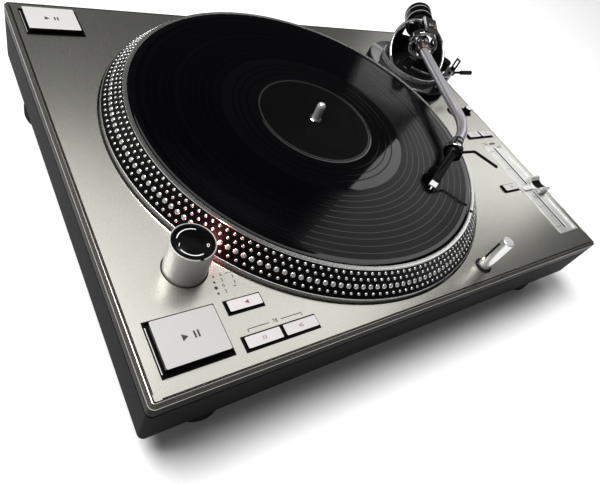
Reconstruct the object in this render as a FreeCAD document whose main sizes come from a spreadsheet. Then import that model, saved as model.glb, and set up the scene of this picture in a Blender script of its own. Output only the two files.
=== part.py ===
import FreeCAD, Part
import math
import os
import Sketcher
from FreeCAD import Placement, Rotation, Vector

# Direct-drive record player with an S-shaped tonearm.
# Frame: the origin is on the floor under the middle of the case, +X points to the player's
# right, +Y to its back and +Z up.  All lengths are in millimetres.
# Heights written as deck + n are measured from the top face of the deck plate.

DIMENSIONS = {
    # case
    "case_width": 458, "case_depth": 356, "case_corner": 3.8,
    "deck": 74, "plate_thick": 3, "rim_width": 2.8, "rim_gap": 0.5,
    "frame_drop": 12, "groove_tall": 1.2, "groove_deep": 1.5,
    "case_wall": 4.5, "case_base": 26, "cover_thick": 4,
    # feet
    "foot_radius": 20, "foot_front_x": 183, "foot_front_y": 155, "foot_back_x": 207,
    "foot_back_y": 124,
    # platter, record and motor
    "spin_x": -28.5, "spin_y": 2, "well_radius": 170.1, "well_deep": 14,
    "platter_radius": 168.5, "platter_rim": 155, "platter_inner": 152.3,
    "platter_top": 19.3, "platter_floor": 15, "flange_top": 3.4, "flange_low": -3,
    "shaft_radius": 4.5, "spindle_radius": 3.57, "spindle_top": 35.4,
    "mat_radius": 149.5, "mat_thick": 2.5, "record_radius": 150.8, "record_hole": 3.62,
    "running_gap": 0.05,
    # tonearm: plan position of its pivot, height of its axis, plan angle of its line
    "arm_x": 165.5, "arm_y": 92, "arm_axis": 38, "arm_angle": 234.7, "arm_reach": 224.2,
    "bend_near": 14, "bend_far_x": 137.6, "bend_far_y": 34.7,
    "tube_radius": 4.9, "tube_wall": 0.8, "near_radius": 30, "far_radius": 60,
    "base_radius": 50, "tower_radius": 48.5, "shroud_radius": 33.5, "shroud_wall": 3,
    "gimbal_radius": 15.5, "gimbal_inner": 12, "gimbal_width": 9,
    "weight_radius": 16, "weight_near": 46, "weight_length": 28,
    # switches
    "start_x": -196.8, "start_y": -147.8, "start_wide": 43.6, "start_long": 35,
    "rear_start_x": -199, "rear_start_y": 150,
    "key_long": 10.6, "collar_wall": 1, "collar_proud": 0.3,
    # power knob and lamp
    "knob_x": -182, "knob_y": -102.3, "knob_radius": 13.8, "knob_tall": 27,
    "lamp_x": 57, "lamp_y": -162, "lamp_radius": 5, "lamp_tall": 33,
    # pitch control
    "pitch_left": 188, "pitch_right": 220.5, "pitch_front": -157, "pitch_back": -35,
    "slot_x": 202.7, "fader_y": -98.4, "fader_long": 19.3,
    "brake_x": 188, "brake_y": 22, "start_time_x": 210, "start_time_y": 21,
}

doc = FreeCAD.newDocument("RecordPlayer")
sheet = doc.addObject("Spreadsheet::Sheet", "Sizes")
for row, (alias, amount) in enumerate(DIMENSIONS.items(), start=1):
    sheet.set(f"A{row}", alias)
    sheet.set(f"B{row}", str(amount))
    sheet.setAlias(f"B{row}", alias)
doc.recompute()


class Size:
    """A number that also carries its formula, so that a feature can be bound to the sheet."""

    def __init__(self, value, formula):
        self.value = float(value)
        self.formula = formula

    def join(self, sign, other, result):
        return Size(result, f"({self.formula} {sign} {other.formula})")

    def __add__(self, other):
        other = size(other)
        return self.join("+", other, self.value + other.value)

    def __sub__(self, other):
        other = size(other)
        return self.join("-", other, self.value - other.value)

    def __mul__(self, other):
        other = size(other)
        return self.join("*", other, self.value * other.value)

    def __truediv__(self, other):
        other = size(other)
        return self.join("/", other, self.value / other.value)

    def __radd__(self, other):
        return size(other) + self

    def __rsub__(self, other):
        return size(other) - self

    def __neg__(self):
        return size(0) - self


def size(amount):
    """Wrap a plain number; a Size is passed through."""
    if isinstance(amount, Size):
        return amount
    return Size(amount, f"{float(amount):g}")


class Dimensions:
    """The sheet's cells by alias, such as dim.deck."""

    def __getattr__(self, alias):
        return Size(DIMENSIONS[alias], f"Sizes.{alias}")


dim = Dimensions()
nodes = []


def bind(item, prop, amount):
    """Set one property, and bind it when its formula names a cell of the sheet."""
    amount = size(amount)
    if "." not in prop and "[" not in prop:
        setattr(item, prop, amount.value)
    if "Sizes" in amount.formula:
        item.setExpression(prop, amount.formula)


def place(item, x=0, y=0, z=0, turn=None):
    """Put an item at x, y, z, turned by a Rotation, with the position bound to the sheet."""
    spot = [size(x), size(y), size(z)]
    item.Placement = Placement(Vector(*[part.value for part in spot]), turn or Rotation())
    for axis, part in zip("xyz", spot):
        bind(item, f"Placement.Base.{axis}", part)
    return item


def node(item, label):
    """Name a finished sub-part."""
    item.Label = label
    nodes.append((label, item))
    return item


# ---------------------------------------------------------------- Part primitives

def box(x, y, z, wide, deep, tall, turn=None):
    item = doc.addObject("Part::Box", "block")
    bind(item, "Length", wide)
    bind(item, "Width", deep)
    bind(item, "Height", tall)
    return place(item, x, y, z, turn)


def cylinder(x, y, z, radius, tall, turn=None):
    item = doc.addObject("Part::Cylinder", "round")
    bind(item, "Radius", radius)
    bind(item, "Height", tall)
    return place(item, x, y, z, turn)


def cone(x, y, z, low_radius, high_radius, tall, turn=None):
    item = doc.addObject("Part::Cone", "taper")
    bind(item, "Radius1", low_radius)
    bind(item, "Radius2", high_radius)
    bind(item, "Height", tall)
    return place(item, x, y, z, turn)


def fuse(*shapes):
    item = doc.addObject("Part::MultiFuse", "joined")
    item.Shapes = list(shapes)
    item.Refine = True
    return item


def cut(base, *tools):
    for tool in tools:
        item = doc.addObject("Part::Cut", "cut")
        item.Base = base
        item.Tool = tool
        base = item
    return base


def group(*shapes):
    item = doc.addObject("Part::Compound", "set")
    item.Links = list(shapes)
    return item


def along(x, y, z):
    """The rotation that turns +Z into the given direction."""
    return Rotation(Vector(0, 0, 1), Vector(x, y, z))


ALONG_X = along(1, 0, 0)
ALONG_Y = along(0, 1, 0)


# ---------------------------------------------------------------- PartDesign bodies

def new_body(label, x=0, y=0, z=0, turn=None):
    body = doc.addObject("PartDesign::Body", label)
    place(body, x, y, z, turn)
    return body


def sketch_on(body, role, offset=0):
    """A sketch on one of the body's own origin planes, moved off it by offset."""
    plane = next(item for item in body.Origin.OriginFeatures if item.Role == role)
    sketch = body.newObject("Sketcher::SketchObject", "outline")
    sketch.AttachmentSupport = [(plane, "")]
    sketch.MapMode = "FlatFace"
    offset = size(offset)
    sketch.AttachmentOffset = Placement(Vector(0, 0, offset.value), Rotation())
    bind(sketch, "AttachmentOffset.Base.z", offset)
    return sketch


def hold(sketch, kind, amount, *where):
    """Add a dimensional constraint bound to the sheet."""
    amount = size(amount)
    index = sketch.addConstraint(Sketcher.Constraint(kind, *where, amount.value))
    bind(sketch, f"Constraints[{index}]", amount)


def pin(sketch, geometry, point, x, y):
    """Hold one point of a sketch at x, y from its origin."""
    hold(sketch, "DistanceX", x, -1, 1, geometry, point)
    hold(sketch, "DistanceY", y, -1, 1, geometry, point)


def polygon(sketch, corners, closed=True):
    """Straight outline through the given corners, each held by its own formulas."""
    corners = [(size(x), size(y)) for x, y in corners]
    ends = corners[1:] + corners[:1] if closed else corners[1:]
    first = sketch.GeometryCount
    for (x1, y1), (x2, y2) in zip(corners, ends):
        start = Vector(x1.value, y1.value, 0)
        sketch.addGeometry(Part.LineSegment(start, Vector(x2.value, y2.value, 0)))
    count = len(ends)
    for step in range(count if closed else count - 1):
        after = first + (step + 1) % count
        sketch.addConstraint(Sketcher.Constraint("Coincident", first + step, 2, after, 1))
    for step, (x, y) in enumerate(corners[:count]):
        pin(sketch, first + step, 1, x, y)
    if not closed:
        pin(sketch, first + count - 1, 2, *corners[-1])


def circle(sketch, x, y, radius):
    x, y, radius = size(x), size(y), size(radius)
    centre = Vector(x.value, y.value, 0)
    index = sketch.addGeometry(Part.Circle(centre, Vector(0, 0, 1), radius.value))
    pin(sketch, index, 3, x, y)
    hold(sketch, "Radius", radius, index)


def rectangle(sketch, left, front, right, back, radius=None):
    """Axis-aligned rectangle, with tangent corner arcs when a radius is given."""
    if radius is None:
        polygon(sketch, [(left, front), (right, front), (right, back), (left, back)])
        return
    left, front, right, back = size(left), size(front), size(right), size(back)
    radius = size(radius)
    centres = [(right - radius, back - radius), (left + radius, back - radius),
               (left + radius, front + radius), (right - radius, front + radius)]
    arcs = []
    for quarter, (x, y) in enumerate(centres):
        ring = Part.Circle(Vector(x.value, y.value, 0), Vector(0, 0, 1), radius.value)
        start = quarter * math.pi / 2
        arcs.append(sketch.addGeometry(Part.ArcOfCircle(ring, start, start + math.pi / 2)))
    for quarter, arc in enumerate(arcs):
        after = arcs[(quarter + 1) % 4]
        side = Part.LineSegment(sketch.Geometry[arc].EndPoint,
                                sketch.Geometry[after].StartPoint)
        line = sketch.addGeometry(side)
        sketch.addConstraint(Sketcher.Constraint("Tangent", arc, 2, line, 1))
        sketch.addConstraint(Sketcher.Constraint("Tangent", line, 2, after, 1))
    for arc, (x, y) in zip(arcs, centres):
        pin(sketch, arc, 3, x, y)
        hold(sketch, "Radius", radius, arc)


def pad(body, sketch, tall, down=False):
    feature = body.newObject("PartDesign::Pad", "pad")
    feature.Profile = sketch
    bind(feature, "Length", tall)
    feature.Reversed = down
    sketch.Visibility = False
    body.Tip = feature
    return feature


def pocket(body, sketch, deep, up=False):
    """Cut below the sketch's plane, or above it with up; the volume has to shrink."""
    doc.recompute()
    before = body.Shape.Volume
    feature = body.newObject("PartDesign::Pocket", "pocket")
    feature.Profile = sketch
    bind(feature, "Length", deep)
    feature.Reversed = up
    body.Tip = feature
    doc.recompute()
    if not feature.Shape.Volume < before - 1:
        raise ValueError(f"{body.Label}: the pocket cuts nothing")
    return feature


def chamfer_edges(body, wanted, width):
    """Chamfer the edges of the body's last feature that wanted() picks."""
    doc.recompute()
    base = body.Tip
    names = [f"Edge{index}" for index, edge in enumerate(base.Shape.Edges, start=1)
             if wanted(edge)]
    feature = body.newObject("PartDesign::Chamfer", "chamfer")
    feature.Base = (base, names)
    bind(feature, "Size", width)
    body.Tip = feature
    return feature


def turned(label, profile, x=0, y=0, z=0, turn=None):
    """A body turned about its own Z axis from a profile of (radius, height) corners."""
    body = new_body(label, x, y, z, turn)
    sketch = sketch_on(body, "XZ_Plane")
    polygon(sketch, profile)
    feature = body.newObject("PartDesign::Revolution", "turn")
    feature.Profile = sketch
    feature.ReferenceAxis = (sketch, ["V_Axis"])
    feature.Angle = 360
    body.Tip = feature
    return body


def polar(body, feature, count):
    """Repeat a feature about the body's Z axis."""
    pattern = body.newObject("PartDesign::PolarPattern", "ring")
    pattern.Originals = [feature]
    axis = next(item for item in body.Origin.OriginFeatures if item.Role == "Z_Axis")
    pattern.Axis = (axis, [""])
    pattern.Angle = 360
    pattern.Occurrences = count
    body.Tip = pattern
    return pattern


# ---------------------------------------------------------------- case

HALF_WIDE = dim.case_width / 2
HALF_DEEP = dim.case_depth / 2
WALL_X = HALF_WIDE - dim.case_wall
WALL_Y = HALF_DEEP - dim.case_wall
SCREW_SPOTS = [(x, y) for x in (-150, -50, 40, 150) for y in (-1, 1)]
SCREW_INSET = 4.8
FOOT_SPOTS = {"foot_front_left": (dim.foot_front_x * -1, dim.foot_front_y * -1),
              "foot_front_right": (dim.foot_front_x, dim.foot_front_y * -1),
              "foot_back_left": (dim.foot_back_x * -1, dim.foot_back_y),
              "foot_back_right": (dim.foot_back_x, dim.foot_back_y)}

# One-row keys: left edge, front edge, width of the collar, and the number of caps in it.
REVERSE_KEYS = (-169.4, -141.4, 25.7, 1)
SPEED_KEYS = (-168.9, -166.6, 53.7, 2)
RESET_KEYS = (159.3, -98.2, 25.3, 1)
RANGE_KEYS = (175.5, -22.2, 43, 2)


def start_opening(x, y):
    return (x - dim.start_wide / 2, y - dim.start_long / 2,
            x + dim.start_wide / 2, y + dim.start_long / 2)


def key_opening(keys):
    left, front, wide, _ = keys
    return (size(left), size(front), size(left) + wide, size(front) + dim.key_long)


def grown(opening, by):
    left, front, right, back = opening
    return (left - by, front - by, right + by, back + by)


OPENINGS = {
    "start": start_opening(dim.start_x, dim.start_y),
    "rear_start": start_opening(dim.rear_start_x, dim.rear_start_y),
    "reverse": key_opening(REVERSE_KEYS),
    "speed": key_opening(SPEED_KEYS),
    "reset": key_opening(RESET_KEYS),
    "range": key_opening(RANGE_KEYS),
}


def top_plate():
    """Flat metal deck plate with the platter opening and every control's cut-out."""
    body = new_body("top_plate", z=dim.deck - dim.plate_thick)
    sketch = sketch_on(body, "XY_Plane")
    edge_x = HALF_WIDE - dim.rim_width - dim.rim_gap
    edge_y = HALF_DEEP - dim.rim_width - dim.rim_gap
    rectangle(sketch, -edge_x, -edge_y, edge_x, edge_y, dim.case_corner - dim.rim_width)
    circle(sketch, dim.spin_x, dim.spin_y, dim.well_radius)
    for opening in OPENINGS.values():
        rectangle(sketch, *opening)
    rectangle(sketch, dim.pitch_left, dim.pitch_front, dim.pitch_right, dim.pitch_back)
    circle(sketch, dim.knob_x, dim.knob_y, dim.knob_radius + 0.9)
    circle(sketch, dim.lamp_x, dim.lamp_y, dim.lamp_radius + 1.5)
    circle(sketch, dim.arm_x, dim.arm_y, 29.3)
    circle(sketch, dim.brake_x, dim.brake_y, 7.2)
    circle(sketch, dim.start_time_x, dim.start_time_y, 7.2)
    pad(body, sketch, dim.plate_thick)
    return node(body, "top_plate")


def bezel_rim():
    """Bright bevelled frame round the deck plate."""
    body = new_body("bezel_rim", z=dim.deck - dim.plate_thick)
    sketch = sketch_on(body, "XY_Plane")
    rectangle(sketch, -HALF_WIDE, -HALF_DEEP, HALF_WIDE, HALF_DEEP, dim.case_corner)
    inner_x = HALF_WIDE - dim.rim_width
    inner_y = HALF_DEEP - dim.rim_width
    rectangle(sketch, -inner_x, -inner_y, inner_x, inner_y, dim.case_corner - dim.rim_width)
    pad(body, sketch, dim.plate_thick)
    limit_x = HALF_WIDE.value - 1
    limit_y = HALF_DEEP.value - 1
    corner = math.hypot(limit_x - 6, limit_y - 6)

    def outer_top(edge):
        low, high = edge.BoundBox.ZMin, edge.BoundBox.ZMax
        middle = edge.valueAt((edge.FirstParameter + edge.LastParameter) / 2)
        outside = abs(middle.x) > limit_x or abs(middle.y) > limit_y
        outside = outside or math.hypot(middle.x, middle.y) > corner + 6.4
        return outside and high - low < 0.01 and low > dim.plate_thick.value - 0.01

    chamfer_edges(body, outer_top, 2)
    return node(body, "bezel_rim")


def upper_frame():
    """Black frame under the rim, with the shadow groove at its foot."""
    body = new_body("upper_frame", z=dim.deck - dim.frame_drop)
    sketch = sketch_on(body, "XY_Plane")
    rectangle(sketch, -HALF_WIDE, -HALF_DEEP, HALF_WIDE, HALF_DEEP, dim.case_corner)
    rectangle(sketch, -WALL_X, -WALL_Y, WALL_X, WALL_Y, 1.5)
    pad(body, sketch, dim.frame_drop - dim.plate_thick)
    lip = sketch_on(body, "XY_Plane")
    lip_x = HALF_WIDE - dim.groove_deep
    lip_y = HALF_DEEP - dim.groove_deep
    rectangle(lip, -lip_x, -lip_y, lip_x, lip_y, dim.case_corner - dim.groove_deep)
    rectangle(lip, -WALL_X, -WALL_Y, WALL_X, WALL_Y, 1.5)
    pad(body, lip, dim.groove_tall, down=True)
    return node(body, "upper_frame")


TERMINAL_LEFT, TERMINAL_RIGHT = -143, -57
JACK_SPOTS = (-95, -77)
GROUND_SPOT = -65
TERMINAL_LOW, TERMINAL_HIGH = 33, 55


def plinth_shell():
    """Lower case wall with screw posts and the opening for the terminal panel."""
    body = new_body("plinth_wall", z=dim.case_base)
    tall = dim.deck - dim.frame_drop - dim.groove_tall - dim.case_base
    sketch = sketch_on(body, "XY_Plane")
    rectangle(sketch, -HALF_WIDE, -HALF_DEEP, HALF_WIDE, HALF_DEEP, dim.case_corner)
    rectangle(sketch, -WALL_X, -WALL_Y, WALL_X, WALL_Y, 1.5)
    pad(body, sketch, tall)
    posts = sketch_on(body, "XY_Plane", dim.cover_thick)
    for x, side in SCREW_SPOTS:
        circle(posts, x, (WALL_Y - SCREW_INSET) * side, 5.2)
    pad(body, posts, 26)
    bores = sketch_on(body, "XY_Plane", dim.cover_thick)
    for x, side in SCREW_SPOTS:
        circle(bores, x, (WALL_Y - SCREW_INSET) * side, 1.75)
    pocket(body, bores, 16, up=True)
    opening = box(TERMINAL_LEFT, WALL_Y - 1, TERMINAL_LOW, TERMINAL_RIGHT - TERMINAL_LEFT,
                  dim.case_wall + 2, TERMINAL_HIGH - TERMINAL_LOW)
    return node(cut(body, opening), "plinth_shell")


def bottom_cover():
    """Heavy rubber base plate with a threaded boss over each foot."""
    body = new_body("bottom_cover", z=dim.case_base)
    sketch = sketch_on(body, "XY_Plane")
    edge_x = WALL_X - 0.3
    edge_y = WALL_Y - 0.3
    rectangle(sketch, -edge_x, -edge_y, edge_x, edge_y, 1.5)
    for foot_x, foot_y in FOOT_SPOTS.values():
        circle(sketch, foot_x, foot_y, 5.1)
    for x, side in SCREW_SPOTS:
        circle(sketch, x, (WALL_Y - SCREW_INSET) * side, 2.2)
    pad(body, sketch, dim.cover_thick)
    bosses = sketch_on(body, "XY_Plane", dim.cover_thick)
    for foot_x, foot_y in FOOT_SPOTS.values():
        circle(bosses, foot_x, foot_y, 9)
        circle(bosses, foot_x, foot_y, 5.1)
    pad(body, bosses, 12)
    return node(body, "bottom_cover")


def cover_screws():
    """Pan-head screws that hold the bottom cover to the plinth's posts."""
    screws = []
    for x, side in SCREW_SPOTS:
        y = (WALL_Y - SCREW_INSET) * side
        head = cylinder(x, y, dim.case_base - 2, 3.6, 2)
        shank = cylinder(x, y, dim.case_base - 2, 1.7, 18)
        screws.append(fuse(head, shank))
    return node(group(*screws), "cover_screws")


def feet():
    """Levelling feet: rubber pad, waist and threaded stud in one turned piece each."""
    low = 0
    profile = [(0, low), (dim.foot_radius - 2, low), (dim.foot_radius, 2),
               (dim.foot_radius, 9), (dim.foot_radius - 1, 10.5), (dim.foot_radius - 4, 10.5),
               (dim.foot_radius - 4, 12), (dim.foot_radius - 1, 12),
               (dim.foot_radius - 1, 22), (dim.foot_radius - 3, 24.5), (9, 24.5),
               (9, 25.6), (5, 25.6), (5, 40), (0, 40)]
    for label, (foot_x, foot_y) in FOOT_SPOTS.items():
        node(turned(label, profile, foot_x, foot_y), label)


# ---------------------------------------------------------------- platter and motor

def platter_well():
    """Dished pan under the platter that carries the motor."""
    deep = dim.well_deep
    profile = [(9.5, -deep - 2.5), (dim.well_radius + 1.1, -deep - 2.5),
               (dim.well_radius + 1.1, -dim.plate_thick),
               (dim.well_radius, -dim.plate_thick), (dim.well_radius, -deep),
               (9.5, -deep)]
    return node(turned("platter_well", profile, dim.spin_x, dim.spin_y, dim.deck), "platter_well")


def bearing_housing():
    """Flanged sleeve that holds the spindle, closed at its foot."""
    bore = dim.shaft_radius + dim.running_gap
    deep = -dim.well_deep
    profile = [(0, -40), (9, -40), (9, deep), (22, deep), (22, deep + 3), (12, deep + 3),
               (12, 5), (bore, 5), (bore, -37), (0, -37)]
    return node(turned("bearing_housing", profile, dim.spin_x, dim.spin_y, dim.deck),
                "bearing_housing")


def motor_stator():
    """Laminated core with twelve wound poles, pressed round the bearing housing."""
    body = new_body("motor_stator", dim.spin_x, dim.spin_y, dim.deck - 7)
    core = sketch_on(body, "XY_Plane")
    circle(core, 0, 0, 30)
    circle(core, 0, 0, 12)
    pad(body, core, 6)
    pole = sketch_on(body, "XY_Plane")
    polygon(pole, [(28, -4), (47, -4), (47, -9), (51, -9), (51, 9), (47, 9), (47, 4), (28, 4)])
    arm = pad(body, pole, 6)
    doc.recompute()
    polar(body, arm, 12)
    doc.recompute()
    coil = sketch_on(body, "XY_Plane", -3)
    rectangle(coil, 33, -6.5, 46, 6.5)
    winding = pad(body, coil, 12)
    doc.recompute()
    polar(body, winding, 12)
    return node(body, "motor_stator")


def rotor_magnet():
    """Ring magnet and back iron under the platter."""
    profile = [(53, -6), (61, -6), (61, 11), (53, 11)]
    return node(turned("rotor_magnet", profile, dim.spin_x, dim.spin_y, dim.deck), "rotor_magnet")


def platter():
    """Cast platter: recessed top, sloping rim for the strobe dots, and bottom flange."""
    bore = dim.shaft_radius + dim.running_gap
    outer = dim.platter_radius
    profile = [
        (bore, 6), (20, 6), (24, 11), (140, 11), (148, dim.flange_low), (outer, dim.flange_low),
        (outer, dim.flange_top), (outer - 2.1, dim.flange_top), (outer - 2.6, dim.flange_top + 1.2),
        (dim.platter_rim + 1, dim.platter_top - 1), (dim.platter_rim, dim.platter_top),
        (dim.platter_inner, dim.platter_top), (dim.platter_inner, dim.platter_floor),
        (bore, dim.platter_floor)]
    return node(turned("platter", profile, dim.spin_x, dim.spin_y, dim.deck), "platter")


def spindle():
    """Hardened shaft: bearing length, seat, undercut and rounded record pin."""
    pin_radius = dim.spindle_radius
    shaft = dim.shaft_radius
    top = dim.spindle_top
    seat = pin_radius + 0.03
    profile = [(0, -36.7), (2, -36.7), (shaft, -34), (shaft, dim.platter_floor),
               (seat, dim.platter_floor), (seat, 18.8), (seat - 0.3, 18.8),
               (seat - 0.3, 19.6), (pin_radius, 19.6),
               (pin_radius, top - 3.4),
               (pin_radius - 0.5, top - 1.8), (pin_radius - 1.5, top - 0.6),
               (pin_radius - 2.6, top), (0, top)]
    return node(turned("spindle", profile, dim.spin_x, dim.spin_y, dim.deck), "spindle")


def slipmat():
    profile = [(4.8, 0), (dim.mat_radius, 0), (dim.mat_radius, dim.mat_thick),
               (4.8, dim.mat_thick)]
    return node(turned("slipmat", profile, dim.spin_x, dim.spin_y, dim.deck + dim.platter_floor),
                "slipmat")


def record():
    """Twelve-inch record with a raised bead at its edge and at its label."""
    edge = dim.record_radius
    hole = dim.record_hole
    profile = [(hole, 0), (edge - 0.6, 0), (edge, 0.7), (edge, 1.2), (edge - 0.8, 1.9),
               (edge - 3.4, 1.75), (53, 1.7), (51, 1.9), (hole, 1.9)]
    return node(turned("record", profile, dim.spin_x, dim.spin_y,
                       dim.deck + dim.platter_floor + dim.mat_thick), "record")


# ---------------------------------------------------------------- switches

def switch_frame(label, outline, openings):
    """Black carrier under the deck whose collars come up through the plate."""
    body = new_body(label, z=dim.deck - 8)
    base = sketch_on(body, "XY_Plane")
    polygon(base, outline)
    pad(body, base, 1.6)
    collars = sketch_on(body, "XY_Plane")
    for name in openings:
        outer = grown(OPENINGS[name], -0.15)
        rectangle(collars, *outer)
        rectangle(collars, *grown(outer, -dim.collar_wall))
    pad(body, collars, 8 + dim.collar_proud)
    return node(body, label)


def key_caps(label, keys, names):
    """Caps of one row of keys; the stems stop above the carrier."""
    left, front, wide, count = keys
    rim = 0.15 + 1 + 0.5
    gap = 2.6
    cap_wide = (wide - 2 * rim - gap * (count - 1)) / count
    for index, name in enumerate(names):
        x = left + rim + index * (cap_wide + gap)
        body = new_body(name, x, size(front) + rim, dim.deck - 4)
        cap = sketch_on(body, "XY_Plane")
        rectangle(cap, 0, 0, cap_wide, dim.key_long - 2 * rim, 0.6)
        pad(body, cap, 6)
        node(body, name)


def start_cap(label, x, y):
    """Square START/STOP cap that stands clear of its collar."""
    wide = dim.start_wide - 5.6
    deep = dim.start_long - 6
    body = new_body(label, x - wide / 2 - 0.3, y - deep / 2 - 0.5, dim.deck - 4)
    cap = sketch_on(body, "XY_Plane")
    rectangle(cap, 0, 0, wide, deep, 0.8)
    pad(body, cap, 10)
    top = 10

    def top_edge(edge):
        return edge.BoundBox.ZMin > top - 0.01

    chamfer_edges(body, top_edge, 0.5)
    return node(body, label)


# ---------------------------------------------------------------- power knob and lamp

def strobe_post():
    """Fixed post inside the power knob with the strobe light's window."""
    post = turned("strobe_post", [(0, -8), (13, -8), (13, -3.4), (11, -3.4), (11, 23.3), (0, 23.3)],
                  dim.knob_x, dim.knob_y, dim.deck)
    to_platter = math.degrees(math.atan2((dim.spin_y - dim.knob_y).value,
                                         (dim.spin_x - dim.knob_x).value))
    turn = Rotation(Vector(0, 0, 1), to_platter)
    recess = box(0, -5, 4, 20, 10, 8)
    moved = group(recess)
    place(moved, dim.knob_x + 7 * math.cos(math.radians(to_platter)),
          dim.knob_y + 7 * math.sin(math.radians(to_platter)), dim.deck, turn)
    return node(cut(post, moved), "strobe_post")


def power_knob():
    """Turning sleeve with a sunk top and a light window facing the platter."""
    radius = dim.knob_radius
    tall = dim.knob_tall
    inner = 11.4
    profile = [(inner, -1), (radius, -1), (radius, tall - 0.3), (radius - 0.3, tall),
               (radius - 0.8, tall), (radius - 1.1, tall - 1.1), (0, tall - 1.1),
               (0, tall - 3.2), (inner, tall - 3.2)]
    sleeve = turned("sleeve", profile, dim.knob_x, dim.knob_y, dim.deck)
    to_platter = math.degrees(math.atan2((dim.spin_y - dim.knob_y).value,
                                         (dim.spin_x - dim.knob_x).value))
    window = group(box(0, -8, 3, 20, 16, 10))
    place(window, dim.knob_x, dim.knob_y, dim.deck,
          Rotation(Vector(0, 0, 1), to_platter - 20))
    return node(cut(sleeve, window), "power_knob")


def lamp_sleeve():
    bore = dim.lamp_radius + dim.running_gap
    profile = [(bore, -22), (dim.lamp_radius + 1.3, -22), (dim.lamp_radius + 1.3, 0),
               (dim.lamp_radius + 2.2, 0), (dim.lamp_radius + 1.9, 1.2), (bore, 1.2)]
    return node(turned("lamp_sleeve", profile, dim.lamp_x, dim.lamp_y, dim.deck), "lamp_sleeve")


def target_lamp():
    """Pop-up lamp tube with a slot that lights the record's grooves."""
    radius = dim.lamp_radius
    tall = dim.lamp_tall
    tube = turned("lamp_tube", [(0, -12), (radius, -12), (radius, tall - 0.6),
                                (radius - 0.6, tall), (0, tall)],
                  dim.lamp_x, dim.lamp_y, dim.deck)
    slot = group(box(1.5, -1.6, 6, 10, 3.2, 22))
    facing = math.degrees(math.atan2((dim.spin_y - dim.lamp_y).value,
                                     (dim.spin_x - dim.lamp_x).value))
    place(slot, dim.lamp_x, dim.lamp_y, dim.deck, Rotation(Vector(0, 0, 1), facing + 20))
    return node(cut(tube, slot), "target_lamp")


# ---------------------------------------------------------------- pitch control and trimmers

def pitch_panel():
    """Inlaid strip with the fader's slot and its guide channel."""
    body = new_body("pitch_panel", z=dim.deck - dim.plate_thick)
    outline = sketch_on(body, "XY_Plane")
    edge = (dim.pitch_left + 0.15, dim.pitch_front + 0.15,
            dim.pitch_right - 0.15, dim.pitch_back - 0.15)
    rectangle(outline, *edge, 1.2)
    rectangle(outline, dim.slot_x - 1.4, dim.pitch_front + 5, dim.slot_x + 1.4,
              dim.pitch_back - 3)
    pad(body, outline, dim.plate_thick + 0.6)
    doc.recompute()
    channel = sketch_on(body, "XY_Plane", dim.plate_thick + 0.6)
    rectangle(channel, dim.slot_x + 5.5, dim.pitch_front + 2, dim.slot_x + 14,
              dim.pitch_back - 2)
    pocket(body, channel, 1.4)
    return node(body, "pitch_panel")


def pitch_potentiometer():
    """Long-travel slide potentiometer below the strip."""
    return node(box(dim.slot_x - 7, dim.pitch_front + 1, dim.deck - 19, 14,
                    dim.pitch_back - dim.pitch_front - 2, 12), "pitch_potentiometer")


def pitch_fader():
    """Fader cap with a hollowed grip, riding just above the strip on its stem."""
    body = new_body("fader_cap", dim.slot_x, dim.fader_y, dim.deck + 1)
    half = dim.fader_long / 2
    side = sketch_on(body, "YZ_Plane", 2)
    polygon(side, [(-half, 0), (half, 0), (half, 6.6), (half - 2.2, 7), (5.2, 4.6), (2, 3.4),
                   (-2, 3.4), (-5.2, 4.6), (-half + 2.2, 7), (-half, 6.6)])
    pad(body, side, 15.8)
    wing = sketch_on(body, "XY_Plane")
    rectangle(wing, -14.5, -2.6, 4, 2.6, 1)
    pad(body, wing, 1.6)
    stem = box(dim.slot_x - 1, dim.fader_y - 5, dim.deck - 6.6, 2, 10, 8)
    return node(fuse(body, stem), "pitch_fader")


def trim_knobs():
    """Start-time knob standing up and brake-time knob pushed flush, each in its plate hole."""
    raised = [(0, -2), (6.9, -2), (6.9, -0.8), (4.6, -0.8), (4.3, 5.4), (3.8, 6), (0, 6)]
    flush = [(0, -2), (6.9, -2), (6.9, -0.8), (5.3, -0.8), (5.2, 0.4), (4.8, 0.8), (0, 0.8)]
    for label, x, y, profile, slot_floor in (
            ("brake_time_knob", dim.brake_x, dim.brake_y, flush, 0.3),
            ("start_time_knob", dim.start_time_x, dim.start_time_y, raised, 5.4)):
        knob = turned(f"{label}_disc", profile, x, y, dim.deck)
        groove = box(x - 0.4, y - 6, dim.deck + slot_floor, 0.8, 4, 1)
        node(cut(knob, groove), label)


# ---------------------------------------------------------------- inside the case

def control_board():
    board = box(110, -160, 34, 58, 150, 1.6)
    chips = [box(125, -140, 35.6, 22, 22, 3), box(125, -100, 35.6, 16, 30, 4),
             box(146, -60, 35.6, 18, 12, 8), box(120, -45, 35.6, 12, 24, 10)]
    posts = [cylinder(x, y, 30, 3, 4) for x in (116, 162) for y in (-154, -16)]
    return node(fuse(board, *chips, *posts), "control_board")


def power_supply():
    """Mains board with transformer, cans and heat sink at the back left."""
    board = box(-188, 74, 34, 112, 66, 1.6)
    items = [box(-180, 82, 35.6, 42, 38, 20), cylinder(-122, 92, 35.6, 9, 18),
             cylinder(-122, 116, 35.6, 9, 18), box(-104, 84, 35.6, 6, 44, 16)]
    posts = [cylinder(x, y, 30, 3, 4) for x in (-182, -82) for y in (78, 136)]
    return node(fuse(board, *items, *posts), "power_supply")


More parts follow.
